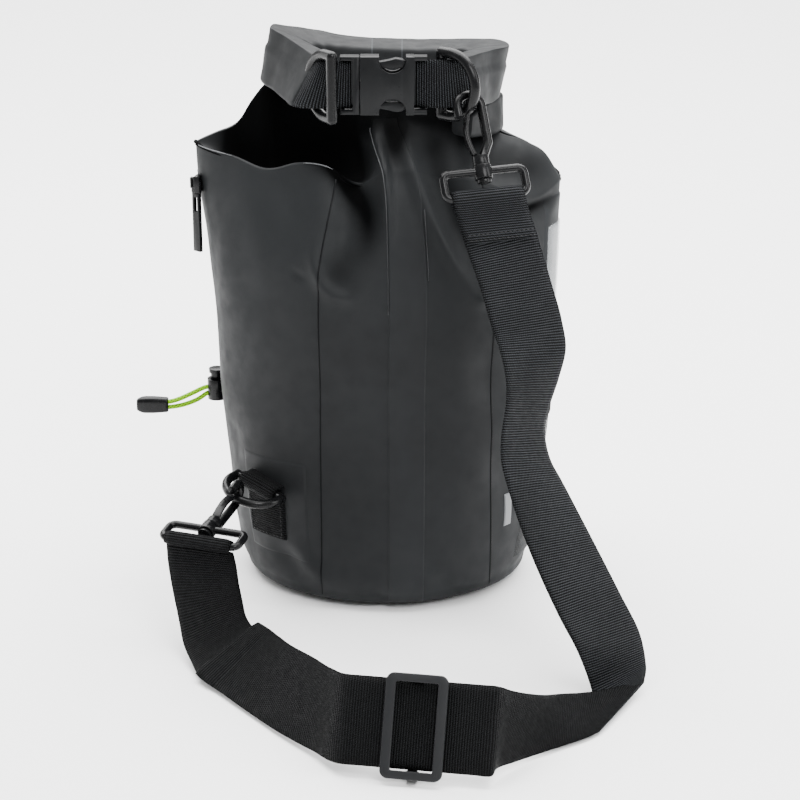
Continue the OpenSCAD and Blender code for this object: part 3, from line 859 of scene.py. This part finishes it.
def make_panels(skin, materials):
    def lay(name, angles, low, high, rows, thick, material, slot, nodes=(), **shape):
        heights = np.linspace(low, high, rows)
        piece = panel(name, skin, angles, heights, thick, materials[material], **shape)
        finish_piece(piece, "bag", slot, *nodes)

    lay("front_band", by_x(skin, [0.5, 0.5, 0.5, 0.6, -1, -8], [20, 20.5, 20.8, 20.8, 17, 8]),
        4, 272, 220, 0.35, "band", "welded_band", ["centre_band"], edge=0.8)
    for name, left, node in (
        ("front_seam_left", [-36.5, -36.5, -36.5, -35, -28, -23], "seam_left"),
        ("front_seam_right", [56.5, 56.5, 56.5, 55, 50, 45], "seam_right"),
    ):
        lay(name, by_x(skin, left, [x + 1.1 for x in left]),
            5, 238, 150, 0.25, "weld", "welded_band", [node], lift=0.1, edge=0.35)
    # Thin pale lines along the band's edges: a painted highlight where the edges catch the light.
    for name, left, low, high in (
        ("band_edge_left", [0.1, 0.1, 0.1, 0.2, -1.4, -8.4], 168, 268),
        ("band_edge_right", [20.4, 20.9, 21.2, 21.2, 17.4, 8.4], 186, 222),
    ):
        lay(name, by_x(skin, left, [x + 0.45 for x in left]),
            low, high, 120, 0.3, "glint_line", "welded_band", lift=0.2, edge=0.2)

    # Thin bright lines along the shoulder fold: a painted highlight where its edge catches the
    # light
    count = 60
    share = np.linspace(0, 1, count)
    radius = np.interp(share, [0, 0.1, 0.8, 1], [0.1, 0.3, 0.3, 0.1])
    for name, start, stop in (("rim_line_left", 184, 217), ("rim_line_middle", 245, 254)):
        angle = np.radians(np.linspace(start, stop, count))
        height = np.interp(angle, circle(COLUMNS), skin.rim) - 0.5
        line = tube(name, skin.at(angle, height, 0.12), radius, materials["glint_line"], sides=8)
        finish_piece(line, "bag", "welded_band")

    lay("side_patch", by_angle(208, 241.5),
        25, 83, 90, 0.25, "band", "welded_band", ["anchor_patch"], lift=0.15, edge=2.4)
    lay("anchor_square", by_angle(212, 231),
        36, 63, 70, 1.9, "webbing", "webbing", ["anchor_web"], edge=0.7)
    marks, per_side = np.arange(5), 13
    share = np.linspace(0, 4, 4 * per_side + 1)
    angle = np.radians(np.interp(share, marks, [213.5, 229.5, 229.5, 213.5, 213.5]))
    height = np.interp(share, marks, [38, 38, 61, 61, 38])
    path = skin.at(angle, height, 2.3)
    normals = unit(skin.at(angle, height, 3.0) - path)
    finish_piece(stitches("anchor_stitches", path, normals, materials["stitch"]), "bag", "webbing")

    for name, start, stop, low, high, rows, thick, material, slot, node, lift, edge in (
        ("pocket_cover", -26, 171, 118, 220, 110, 0.4,
         "band", "welded_band", "pocket_panel", 0.25, 1.5),
        ("window_sheet", -24, 159, 135, 205, 70, 0.6,
         "film", "window_film", "pocket_window", 0.9, 1.2),
        ("zip_band", 7, 175.5, 219.5, 231.5, 24, 0.7,
         "webbing", "webbing", "zip_tape", 0.8, 0.8),
        ("mesh_front", -31, 167.5, 17, 92, 80, 0.7,
         "mesh", "mesh", "mesh_pocket", 0.5, 1.2),
        ("mesh_top_hem", -31.5, 165.5, 93, 101, 20, 1.6,
         "webbing", "webbing", "mesh_hem", 0.3, 1.2),
        ("reflective_patch", 318.3, 323.0, 40.5, 59.5, 40, 0.35,
         "reflective", "reflective_film", "reflector", 0.25, 1.0),
    ):
        lay(name, by_angle(start, stop), low, high, rows, thick, material, slot, [node],
            lift=lift, edge=edge)

    # Zip teeth along the tape
    block = ((3, 2, 1, 0), (4, 5, 6, 7), (0, 1, 5, 4), (1, 2, 6, 5), (2, 3, 7, 6), (3, 0, 4, 7))
    points, faces = [], []
    tape_middle, pitch_angle, lift = 225.5, 0.85, 1.9
    for k, a in enumerate(np.arange(10, 176, pitch_angle)):
        z = tape_middle + (0.75 if k % 2 else -0.75)
        centre = skin.at(math.radians(a), z, lift)
        out = unit(skin.at(math.radians(a), z, 3) - centre)
        along = unit(skin.at(math.radians(a + 0.5), z, lift) - centre)
        up = np.cross(along, out)
        base = len(points)
        for dz in (-0.85, 0.85):
            for du, dn in ((-0.45, -0.4), (0.45, -0.4), (0.35, 0.55), (-0.35, 0.55)):
                points.append(centre + along * du + up * dz + out * dn)
        faces += [tuple(base + v for v in f) for f in block]
    teeth = mesh_object("zip_teeth", points, faces, materials["hardware"], flat=True)
    finish_piece(teeth, "bag", "hardware_plastic")


# ---------------------------------------------------------------- roll

# The roll as sections from its left tip to its right tip, each with four corners:
# outer top, outer bottom, inner bottom, inner top
ROLL_SECTIONS = [
    ((-35, -58.5, 306), (-49.5, -58.5, 280), (-41, -50, 279), (-27, -50, 304.5)),
    ((-42, -44, 307.5), (-54, -44, 280), (-42, -38, 278.5), (-31, -38, 305.5)),
    ((-52, -25, 309.8), (-60.5, -25, 280.8), (-45, -22, 278.5), (-37, -22, 305)),
    ((-62.5, -4, 312.2), (-68, -4, 282.2), (-47, -11, 278), (-42, -9.5, 304)),
    ((-60, 9, 311), (-65, 10, 280.5), (-44, -10, 275), (-39, -9.5, 303)),
    ((-50, 15, 308.5), (-53, 16, 276.5), (-40, -9.5, 272), (-35, -9, 302.5)),
    ((-36, 16.5, 306), (-36, 16.5, 270), (-31, -9.5, 269), (-29, -9, 302)),
    ((-18, 16.5, 303), (-18, 16.5, 268), (-17, -9.5, 268), (-17, -9, 301)),
    ((0, 16.3, 301.8), (0, 16.3, 268), (0, -9.5, 268), (0, -9, 300.4)),
    ((18, 16.5, 301.5), (18, 16.5, 268), (17, -9.5, 268), (17, -9, 300)),
    ((36, 16.5, 301.5), (36, 16.5, 268.5), (31, -9.5, 269), (29, -9, 300)),
    ((52, 15, 301.8), (48, 15, 269), (38, -9.5, 270), (35, -9, 300)),
    ((63, 8, 302), (57, 8, 269.5), (42, -10, 271), (41, -9.5, 300)),
    ((66, -4, 302), (59.5, -4, 270.2), (43, -13, 272), (43, -11, 300.5)),
    ((55, -26, 303.4), (54.5, -26, 273.5), (40, -24, 275), (37, -22, 301.5)),
    ((46, -45, 304.9), (49.5, -45, 276.6), (38, -39, 277), (32, -38, 303)),
    ((39.5, -58.5, 305.9), (46, -58.5, 278.8), (36, -50, 278.5), (28, -50, 304)),
]
ROLL_MIDDLE = 8
ROLL_SEAMS = (-0.0079, 0.0081)


def rounded_section(corners, cuts, per_edge=12, per_corner=7):
    """Outline through four corners, each corner rounded over its cut distance."""
    outline = []
    for i in range(4):
        before, corner, after = corners[i - 1], corners[i], corners[(i + 1) % 4]
        start = corner + unit(before - corner) * cuts[i]
        stop = corner + unit(after - corner) * cuts[i]
        for t in np.linspace(0, 1, per_corner):
            outline.append(start * (1 - t) ** 2 + corner * 2 * t * (1 - t) + stop * t**2)
        following = after + unit(corner - after) * cuts[(i + 1) % 4]
        for t in np.linspace(0, 1, per_edge + 2)[1:-1]:
            outline.append(stop * (1 - t) + following * t)
    return np.array(outline)


def loft_stations(sections, count):
    """Four corners at evenly spread places along given sections.

    Also returns the distance along to each place and to each given section.
    """
    keys = np.array(sections, float)
    run = run_along(keys.mean(1))
    s = np.linspace(0, run[-1], count)
    return through(s, run, keys.reshape(-1, 12)).reshape(count, 4, 3), s, run


def make_roll(materials):
    """Rolled top: a stiff flattened roll, folded forward at both ends, with pressed corners."""
    count = 300
    stations, s, run = loft_stations(ROLL_SECTIONS, count)
    sections = []
    for i in range(count):
        end = min(i, count - 1 - i) / 5
        close = 0.86 + 0.14 * math.sqrt(1 - (1 - min(end, 1)) ** 2)
        middle = stations[i].mean(0)
        corners = middle + (stations[i] - middle) * close
        sections.append(rounded_section(corners, (1.5, 2.5, 3.5, 4.0)))
    grid = np.stack(sections)
    normals = -grid_normals(grid)
    across = np.linspace(0, 1, grid.shape[1], endpoint=False)
    distance = (s - run[ROLL_MIDDLE])[:, None]
    # Faces puff a little between their edges, with slow waves and short pulls near the folds
    face = np.abs(np.sin(across * TAU * 2))[None, :]
    puff = 0.5 * face + 0.5 * slow_noise(grid, 30, 11) + 0.25 * slow_noise(grid, 13, 12)
    near_fold = np.exp(-(((np.abs(distance) - 47) / 16) ** 2))
    pulls = 0.8 * near_fold * np.sin(distance * 0.55 + across[None, :] * 9)
    # The last wrap ends in a step low on the outer side
    wrap = 0.9 * step(across, 0.13, 0.145) * (1 - step(across, 0.4, 0.5))
    grid = grid + normals * (puff * 0.9 + pulls * face * 0.45 + wrap - 0.9)[..., None]
    roll = rings_object("rolled_top", grid, distance[:, 0] * MM, materials["fabric_plain"], True)
    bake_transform(roll)
    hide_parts("roll_core", "roll_end_left", "roll_end_right", "roll_stiffener")


# The folded corner of the neck below the right end of the roll, as sections like the roll's
FOLD_SECTIONS = [
    ((45, -42, 271.5), (44, -42, 259), (34, -36, 260), (35, -36, 270)),
    ((53, -28, 274.5), (52.5, -28, 256.5), (36, -22, 257), (37, -22, 273)),
    ((61, -8, 274.5), (61.5, -8, 254), (38, -8, 254), (38, -8, 273)),
    ((61, 6, 273.5), (61, 6, 253), (38, 4, 253), (38, 4, 272)),
    ((55, 13, 272), (54, 13, 253), (40, 8, 253), (40, 8, 271)),
]


def make_fold_block(materials):
    stations, s, _ = loft_stations(FOLD_SECTIONS, 70)
    grid = np.stack([rounded_section(c, (2.0, 3.5, 3.0, 3.0)) for c in stations])
    grid = grid - grid_normals(grid) * (0.6 * slow_noise(grid, 22, 21))[..., None]
    block = rings_object("neck_fold_right", grid, s * MM + 1, materials["fabric"], True)
    # Painted shade: the fold under the roll is darkened all over.
    set_shade(block, np.full(len(block.data.vertices), 0.4))
    finish_piece(block, "bag", "coated_fabric")


# ---------------------------------------------------------------- webbing and strap


def make_closure_webbing(materials):
    """Webbing either side of the buckle, folded round its bars and sewn to the roll's ends.

    Each row holds the sideways place of the top edge, that of the bottom edge, and the depth.
    """
    high, low = 305, 280
    for name, body, node, marks in (
        ("closure_strap_left", "closure_left", "closure_web_left",
         [(-35, -49, -54), (-34.5, -47.5, -59.5), (-33, -43, -62.8), (-30, -36, -64),
          (-24, -26, -64), (-17.8, -17.8, -64)]),
        ("closure_strap_right", "bag", "closure_web_right",
         [(14.9, 14.9, -62.3), (22, 22, -62.3), (30, 31, -62.3), (36, 39, -61.8),
          (40, 44, -59.6), (41, 46, -54)]),
    ):
        pairs = [((top, y, high), (bottom, y, low)) for top, bottom, y in marks]
        obj, _ = ribbon(name, pairs, WEB_THICK, materials["webbing_bright_crests"], step_mm=0.8)
        finish_piece(obj, body, "webbing", node)


# Shoulder strap in edge pairs, from the upper strap ring down to the corner on the ground
STRAP_RISE = [
    ((70, -86.8, 240), (34, -98, 237)),
    ((74, -88, 229), (38, -100, 224)),
    ((84, -95, 198), (48, -112, 197)),
    ((90, -102, 178), (54, -120, 178)),
    ((92, -106, 166), (57, -127, 171)),
    ((89, -107, 150), (60, -134, 158)),
    ((84, -108, 133), (60, -138, 145)),
    ((82, -110, 121), (58, -142, 132)),
    ((85, -116, 107), (58, -145, 117)),
    ((90, -122, 99), (61, -149, 106)),
    ((102, -132, 78), (69, -157, 83)),
    ((120, -148, 46), (87, -170, 44)),
    ((130, -155, 27), (97, -177, 26)),
    ((133, -161, 13), (104, -176, 6)),
    ((132, -165, 4), (105, -214, 2)),
]
STRAP_FLOOR = [
    ((132, -165, 5.5), (105, -214, 2)),
    ((104, -186, 10), (97, -221, 2)),
    ((88, -200, 16), (85, -229, 2)),
    ((72, -228, 30), (62, -246, 3)),
    ((61, -240, 38), (53, -256, 5)),
]
STRAP_LEFT = [
    ((-28, -217, 39), (-36, -235, 3.5)),
    ((-37, -199, 36), (-52, -216, 2.5)),
    ((-49, -181, 34), (-67, -196, 2)),
    ((-56, -168, 33), (-82, -176, 2.5)),
    ((-64, -155, 32), (-97, -155, 3)),
]
STRAP_TURN = [
    ((-69, -146, 27), (-101.5, -143, 4.5)),
    ((-74, -137, 29), (-107, -129, 9)),
    ((-76, -131, 35), (-110, -120, 19)),
    ((-78, -125, 42), (-114, -111, 35)),
    ((-79.5, -120, 50), (-116, -106.5, 47)),
    ((-81, -117.5, 55.6), (-116.6, -104.2, 55.8)),
]
SLIDER_AT = np.array([14, -251, 24.6])
SLIDER_X = unit([0.985, -0.174, 0])
SLIDER_Z = unit([0.079, 0.447, 0.891])


def slider_pair(s):
    """Edges of the strap where it passes the adjuster, s along it."""
    middle, half_width = SLIDER_AT + s * SLIDER_X + SLIDER_Z, 21.3
    return middle + SLIDER_Z * half_width, middle - SLIDER_Z * half_width


def webbing_band(name, centres, side, width, thick, material):
    """Band of webbing whose middle line follows centres, with its width along side."""
    half = unit(side) * width / 2
    pairs = [(np.asarray(c) + half, np.asarray(c) - half) for c in centres]
    return ribbon(name, pairs, thick, material, step_mm=0.6)[0]


def arc_points(centre, out, up, radius, start, stop, count=15):
    """Points of an arc from start to stop degrees, 0 along out and 90 along up."""
    a = np.radians(np.linspace(start, stop, count))[:, None]
    return list(np.asarray(centre) + radius * (np.cos(a) * out + np.sin(a) * up))


def folded_corner(name, frame, corner, material):
    """The strap's doubled edge where it is folded over itself at the edge pair called corner."""
    mid, across, normal, width = frame
    k = int(np.argmin(np.linalg.norm(mid - np.mean(corner, 0), axis=1)))
    run = run_along(mid)
    toward_front = np.sign(normal[k] @ np.array([0, -0.7, 0.7]))
    pairs = []

    def add(i, shift):
        half = across[i] * width[i] / 2
        pairs.append((mid[i] + half + shift, mid[i] - half + shift))

    for back, rise in ((17, -1.1), (13, 0.1), (8, 1.2), (4, 1.9), (1.5, 2.4)):
        i = int(np.searchsorted(run, run[k] - back))
        add(i, normal[i] * toward_front * rise)
    travel, radius = unit(mid[k + 1] - mid[k - 1]), 1.4
    for a in np.radians(np.linspace(75, -75, 9)):
        rise = 1.1 + radius * math.sin(a)
        add(k, normal[k] * toward_front * rise + travel * radius * math.cos(a))
    return ribbon(name, pairs, 1.3, material, step_mm=0.6)[0]


def make_strap(materials):
    """The long webbing in three ribbons. Returns the upper one's frame."""
    web = materials["webbing"]

    def lay(name, pairs, material, *nodes, **shape):
        obj, where = ribbon(name, pairs, WEB_THICK, material, step_mm=1.5, **shape)
        finish_piece(obj, "bag", "webbing", *nodes)
        return where

    rise_frame = lay("strap_upper", STRAP_RISE, materials["webbing_bright_crests"], "strap_web")
    ending = STRAP_LEFT + STRAP_TURN
    passing = [slider_pair(s) for s in (37, 31, 20, 0, -20, -28, -34)]
    front_frame = lay("strap_front", STRAP_FLOOR + passing + ending, web)
    fold = folded_corner("strap_fold_left", front_frame, STRAP_LEFT[-1], web)
    finish_piece(fold, "bag", "webbing")
    passing = [slider_pair(s) for s in (-17.5, -22, -28, -34)]
    lay("strap_back", passing + ending, web, "strap_return", shift=1.8)
    return rise_frame


UPPER_SWIVEL, UPPER_BEND = np.array([48.9, -86.2, 252.8]), np.array([43.1, -69.4, 282])
LOWER_SWIVEL, LOWER_BEND = np.array([-94.4, -98.9, 61]), np.array([-82.6, -67.3, 66.5])
BAR_DROP = 13
WRAP_RADIUS = 3.2


def make_strap_ends(materials, rise_frame):
    """The strap's turns round the two ring bars, the sewn tab at the top and its stitching."""
    mid, across, normal, _ = rise_frame
    up = unit(UPPER_BEND - UPPER_SWIVEL)
    centre = UPPER_SWIVEL - BAR_DROP * up
    side = unit(across[0] - (across[0] @ up) * up)
    out = np.cross(side, up)
    out = out if out[1] < 0 else -out
    run = run_along(mid)

    def layer(distance, shift):
        k = int(np.searchsorted(run, distance))
        return mid[k] + normal[k] * shift

    tab_end, over, behind = 21, 1.62, -1.0
    centres = [layer(d, over) for d in (tab_end, 16, 11, 6)]
    centres += arc_points(centre, out, up, WRAP_RADIUS, 0, 185)
    centres += [layer(d, behind) for d in (5, 9)]
    tab = webbing_band("strap_tab", centres, side, STRAP_W, WEB_THICK, materials["webbing_bright_crests"])
    finish_piece(tab, "bag", "webbing")
    for i, distance in enumerate((tab_end - 2.2, tab_end - 4.6)):
        ends = [layer(distance, 2.5) + side * w for w in np.linspace(-17.5, 17.5, 12)]
        row = stitches(
            f"tab_stitches_{i + 1}", ends, np.array([out] * 12), materials["stitch"],
            pitch=2.4, length=1.6, radius=0.26)
        finish_piece(row, "bag", "webbing")

    up = unit(LOWER_BEND - LOWER_SWIVEL)
    centre = LOWER_SWIVEL - BAR_DROP * up
    ends = np.array(STRAP_TURN[-1], float)
    side = unit(ends[0] - ends[1])
    rise = np.array([0, 0, 1.0])
    rise = unit(rise - (rise @ side) * side)
    out = np.cross(side, rise)
    out = out if out[1] < 0 else -out
    centres = arc_points(centre, out, rise, WRAP_RADIUS, -62, 236, 25)
    turn = webbing_band("strap_turn_lower", centres, side, STRAP_W, WEB_THICK, materials["webbing"])
    finish_piece(turn, "bag", "webbing")


ANCHOR_AT = np.array([-70, -53, 67.0])
ANCHOR_BAR = unit([0.788, -0.568, -0.239])
ANCHOR_PULL = np.array([-0.589, -0.808, -0.026])


def make_anchor_loop(materials):
    out = unit(ANCHOR_PULL - (ANCHOR_PULL @ ANCHOR_BAR) * ANCHOR_BAR)
    up = np.cross(ANCHOR_BAR, out)
    inward = np.array([0.6, 0.8, 0])
    turn = arc_points(ANCHOR_AT, out, up, 3.6, -125, 125, 21)
    centres = [turn[0] + inward * 5] + turn + [turn[-1] + inward * 5]
    loop = webbing_band("anchor_turn", centres, ANCHOR_BAR, 24, WEB_THICK, materials["webbing"])
    finish_piece(loop, "bag", "webbing", "anchor_loop")


def make_adjuster_loop(materials):
    """Strap end sewn round the adjuster's middle bar."""
    back = np.cross(SLIDER_Z, SLIDER_X)
    outline = [(-14, 5.8), (-8, 5.8), (-3, 5.95), (1.5, 5.9), (3.3, 4.9), (3.5, 3.4),
               (2.2, 2.1), (-1.5, 1.95), (-3.3, 2.7), (-3.9, 4.0), (-5.2, 4.6), (-9, 4.6)]
    centres = [SLIDER_AT + SLIDER_Z + SLIDER_X * x + back * y for x, y in outline]
    loop = webbing_band("adjuster_turn", centres, SLIDER_Z, 36, 1.15, materials["webbing"])
    finish_piece(loop, "slider", "webbing", "slider_loop")


# ---------------------------------------------------------------- cords

# Each strand from the lock to the pull end, in metres
CORD_UPPER = [
    (-0.1026, 0.0216, 0.0985), (-0.105, 0.0213, 0.098), (-0.108, 0.021, 0.0968),
    (-0.111, 0.0205, 0.0954), (-0.115, 0.02, 0.0936), (-0.119, 0.0195, 0.0919),
    (-0.1225, 0.019, 0.0908), (-0.126, 0.0185, 0.0902), (-0.130, 0.0185, 0.0901),
    (-0.134, 0.0185, 0.0901), (-0.138, 0.0185, 0.0901),
]
CORD_LOWER = [
    (-0.1026, 0.0216, 0.0951), (-0.1046, 0.0214, 0.094), (-0.107, 0.0211, 0.0923),
    (-0.110, 0.0207, 0.0906), (-0.1135, 0.0203, 0.0892), (-0.1175, 0.0198, 0.088),
    (-0.1215, 0.0192, 0.0873), (-0.126, 0.0185, 0.087), (-0.130, 0.0185, 0.0869),
    (-0.134, 0.0185, 0.0869), (-0.138, 0.0185, 0.0869),
]
CORD_D = 0.0026


def make_cords(materials):
    """Moulded pull end, and the two strands of the drawcord from the lock to it."""
    low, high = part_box("cord_end")
    middle = (low + high) / 2 / MM
    points, sides, rows = [], 40, 40
    a = circle(sides)
    c, s = np.cos(a), np.sin(a)
    for t in np.linspace(0, 1, rows):
        x = high.x / MM - t * (high.x - low.x) / MM
        wide = 4.3 + 0.5 * step(np.array(t), 0.0, 0.5)
        deep = 3.1 + 0.3 * step(np.array(t), 0.0, 0.6)
        rounding = math.sqrt(1 - (1 - min((1 - t) / 0.3, 1)) ** 2 * 0.6)
        close = rounding * (0.9 + 0.1 * min(t / 0.05, 1))
        y = np.sign(c) * np.abs(c) ** 0.6 * deep * close
        z = np.sign(s) * np.abs(s) ** 0.6 * wide * close
        points.append(np.stack([np.full(sides, x), middle.y + y, middle.z + z], 1))
    faces = capped_grid(rows, sides)
    end = mesh_object("cord_pull", np.concatenate(points), faces, materials["hardware"])
    finish_piece(end, "bag", "hardware_plastic", "cord_end")
    for name, route, node in (
        ("cord_strand_upper", CORD_UPPER, "cord_upper"),
        ("cord_strand_lower", CORD_LOWER, "cord_lower"),
    ):
        path = spline(np.array(route) / MM, 60)
        strand = tube(name, path, CORD_D / MM / 2, materials["cord"], sides=16)
        finish_piece(strand, "bag", "cord", node)


# ---------------------------------------------------------------- hard parts

# Material, slot, and the parts made of it: CAD node, body, rounding of the edges
HARD_PARTS = [
    ("buckle", "buckle_plastic", [
        ("buckle_male", "closure_left", 0.5), ("buckle_female", "bag", 0.6),
        ("prong_upper", "prong_upper", 0.5), ("prong_lower", "prong_lower", 0.5)]),
    ("hardware", "hardware_plastic", [
        ("closure_ring_left", "ring_left", 0.2), ("closure_ring_right", "ring_right", 0.2),
        ("anchor_ring", "anchor_ring", 0.2),
        ("hook_upper", "hook_upper", 0.3), ("gate_upper", "gate_upper", 0.4),
        ("strap_ring_upper", "bag", 0.3),
        ("hook_lower", "hook_lower", 0.3), ("gate_lower", "gate_lower", 0.4),
        ("strap_ring_lower", "bag", 0.3)]),
    ("slider", "slider_plastic", [("strap_slider", "slider", 0.6)]),
    ("hardware", "hardware_plastic", [
        ("zip_slider", "zip_slider", 0.3), ("zip_puller", "zip_puller", 0.35),
        ("cord_lock", "bag", 0.6), ("cord_plunger", "cord_plunger", 0.5)]),
]

# The zip's slider and puller rest closer to the soft wall than the CAD's clearance allows
SEATED = {"zip_slider": ((3.2, -2.5, 0), -14), "zip_puller": ((4.6, -3.5, 0), 48)}


def make_hardware(materials):
    for material, slot, parts in HARD_PARTS:
        for node, body, bevel in parts:
            softened(node, body, slot, materials[material], bevel, *SEATED.get(node, ()))
    # Coil spring inside the cord lock, pressed together by the plunger
    low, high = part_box("cord_spring")
    middle, height = (low + high) / 2, high.z - low.z
    wire, turns = 0.3, 6
    radius = (high.x - low.x) / 2 / MM - wire
    t = np.linspace(0, 1, 200)
    coil = np.stack([
        middle.x / MM + radius * np.cos(TAU * turns * t),
        middle.y / MM + radius * np.sin(TAU * turns * t),
        low.z / MM + wire + (height / MM - 2 * wire) * t], 1)
    spring = tube("lock_coil", coil, wire, materials["steel"], sides=8)
    finish_piece(spring, "bag", "spring_steel", "cord_spring")
    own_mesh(spring)


# ---------------------------------------------------------------- all together


def make_materials():
    web = (0.0026, 0.0028, 0.0031)
    return {
        "fabric": coated_material(
            "coated_fabric_body", (0.0085, 0.0094, 0.0102), 0.6, painted_shade=True, gloss=0.16),
        "fabric_plain": coated_material(
            "coated_fabric_roll", (0.0074, 0.0081, 0.0088), 0.6, seams=ROLL_SEAMS, gloss=0.16),
        "band": coated_material(
            "welded_panels", (0.0092, 0.0101, 0.011), 0.57, painted_shade=True, gloss=0.16),
        "weld": coated_material("weld_lines", (0.003, 0.0033, 0.0038), 0.4, gloss=0.08),
        # Thin pale lines: a painted highlight.
        "glint_line": coated_material("painted_highlight_lines", (0.05, 0.052, 0.054), 0.4, gloss=0.25),
        "webbing": webbing_material("black_webbing", web),
        # Webbing whose rib crests are much brighter: a stronger painted highlight.
        "webbing_bright_crests": webbing_material("webbing_lit_crests", web, crest_light=13),
        "stitch": stitch_material((0.003, 0.003, 0.0034)),
        "buckle": plastic_material(
            "buckle_plastic_moulded", (0.0042, 0.0045, 0.0049), 0.32, gloss=0.13),
        "hardware": plastic_material(
            "hardware_plastic_moulded", (0.0022, 0.0023, 0.0026), 0.24, gloss=0.18),
        "slider": plastic_material(
            "slider_plastic_moulded", (0.0072, 0.0076, 0.0084), 0.5, grain=0.6, gloss=0.2),
        "steel": plastic_material("spring_wire", (0.4, 0.41, 0.42), 0.3),
        "reflective": coated_material("reflective_film_patch", (0.16, 0.165, 0.17), 0.35),
        "film": film_material(),
        "mesh": mesh_material(),
        "cord": cord_material(),
    }


def main():
    make_camera()
    materials = make_materials()
    make_cords(materials)
    make_studio()
    skin = Skin()
    make_body(skin, materials)
    make_panels(skin, materials)
    make_roll(materials)
    make_fold_block(materials)
    make_closure_webbing(materials)
    make_strap_ends(materials, make_strap(materials))
    make_anchor_loop(materials)
    make_adjuster_loop(materials)
    make_hardware(materials)


main()
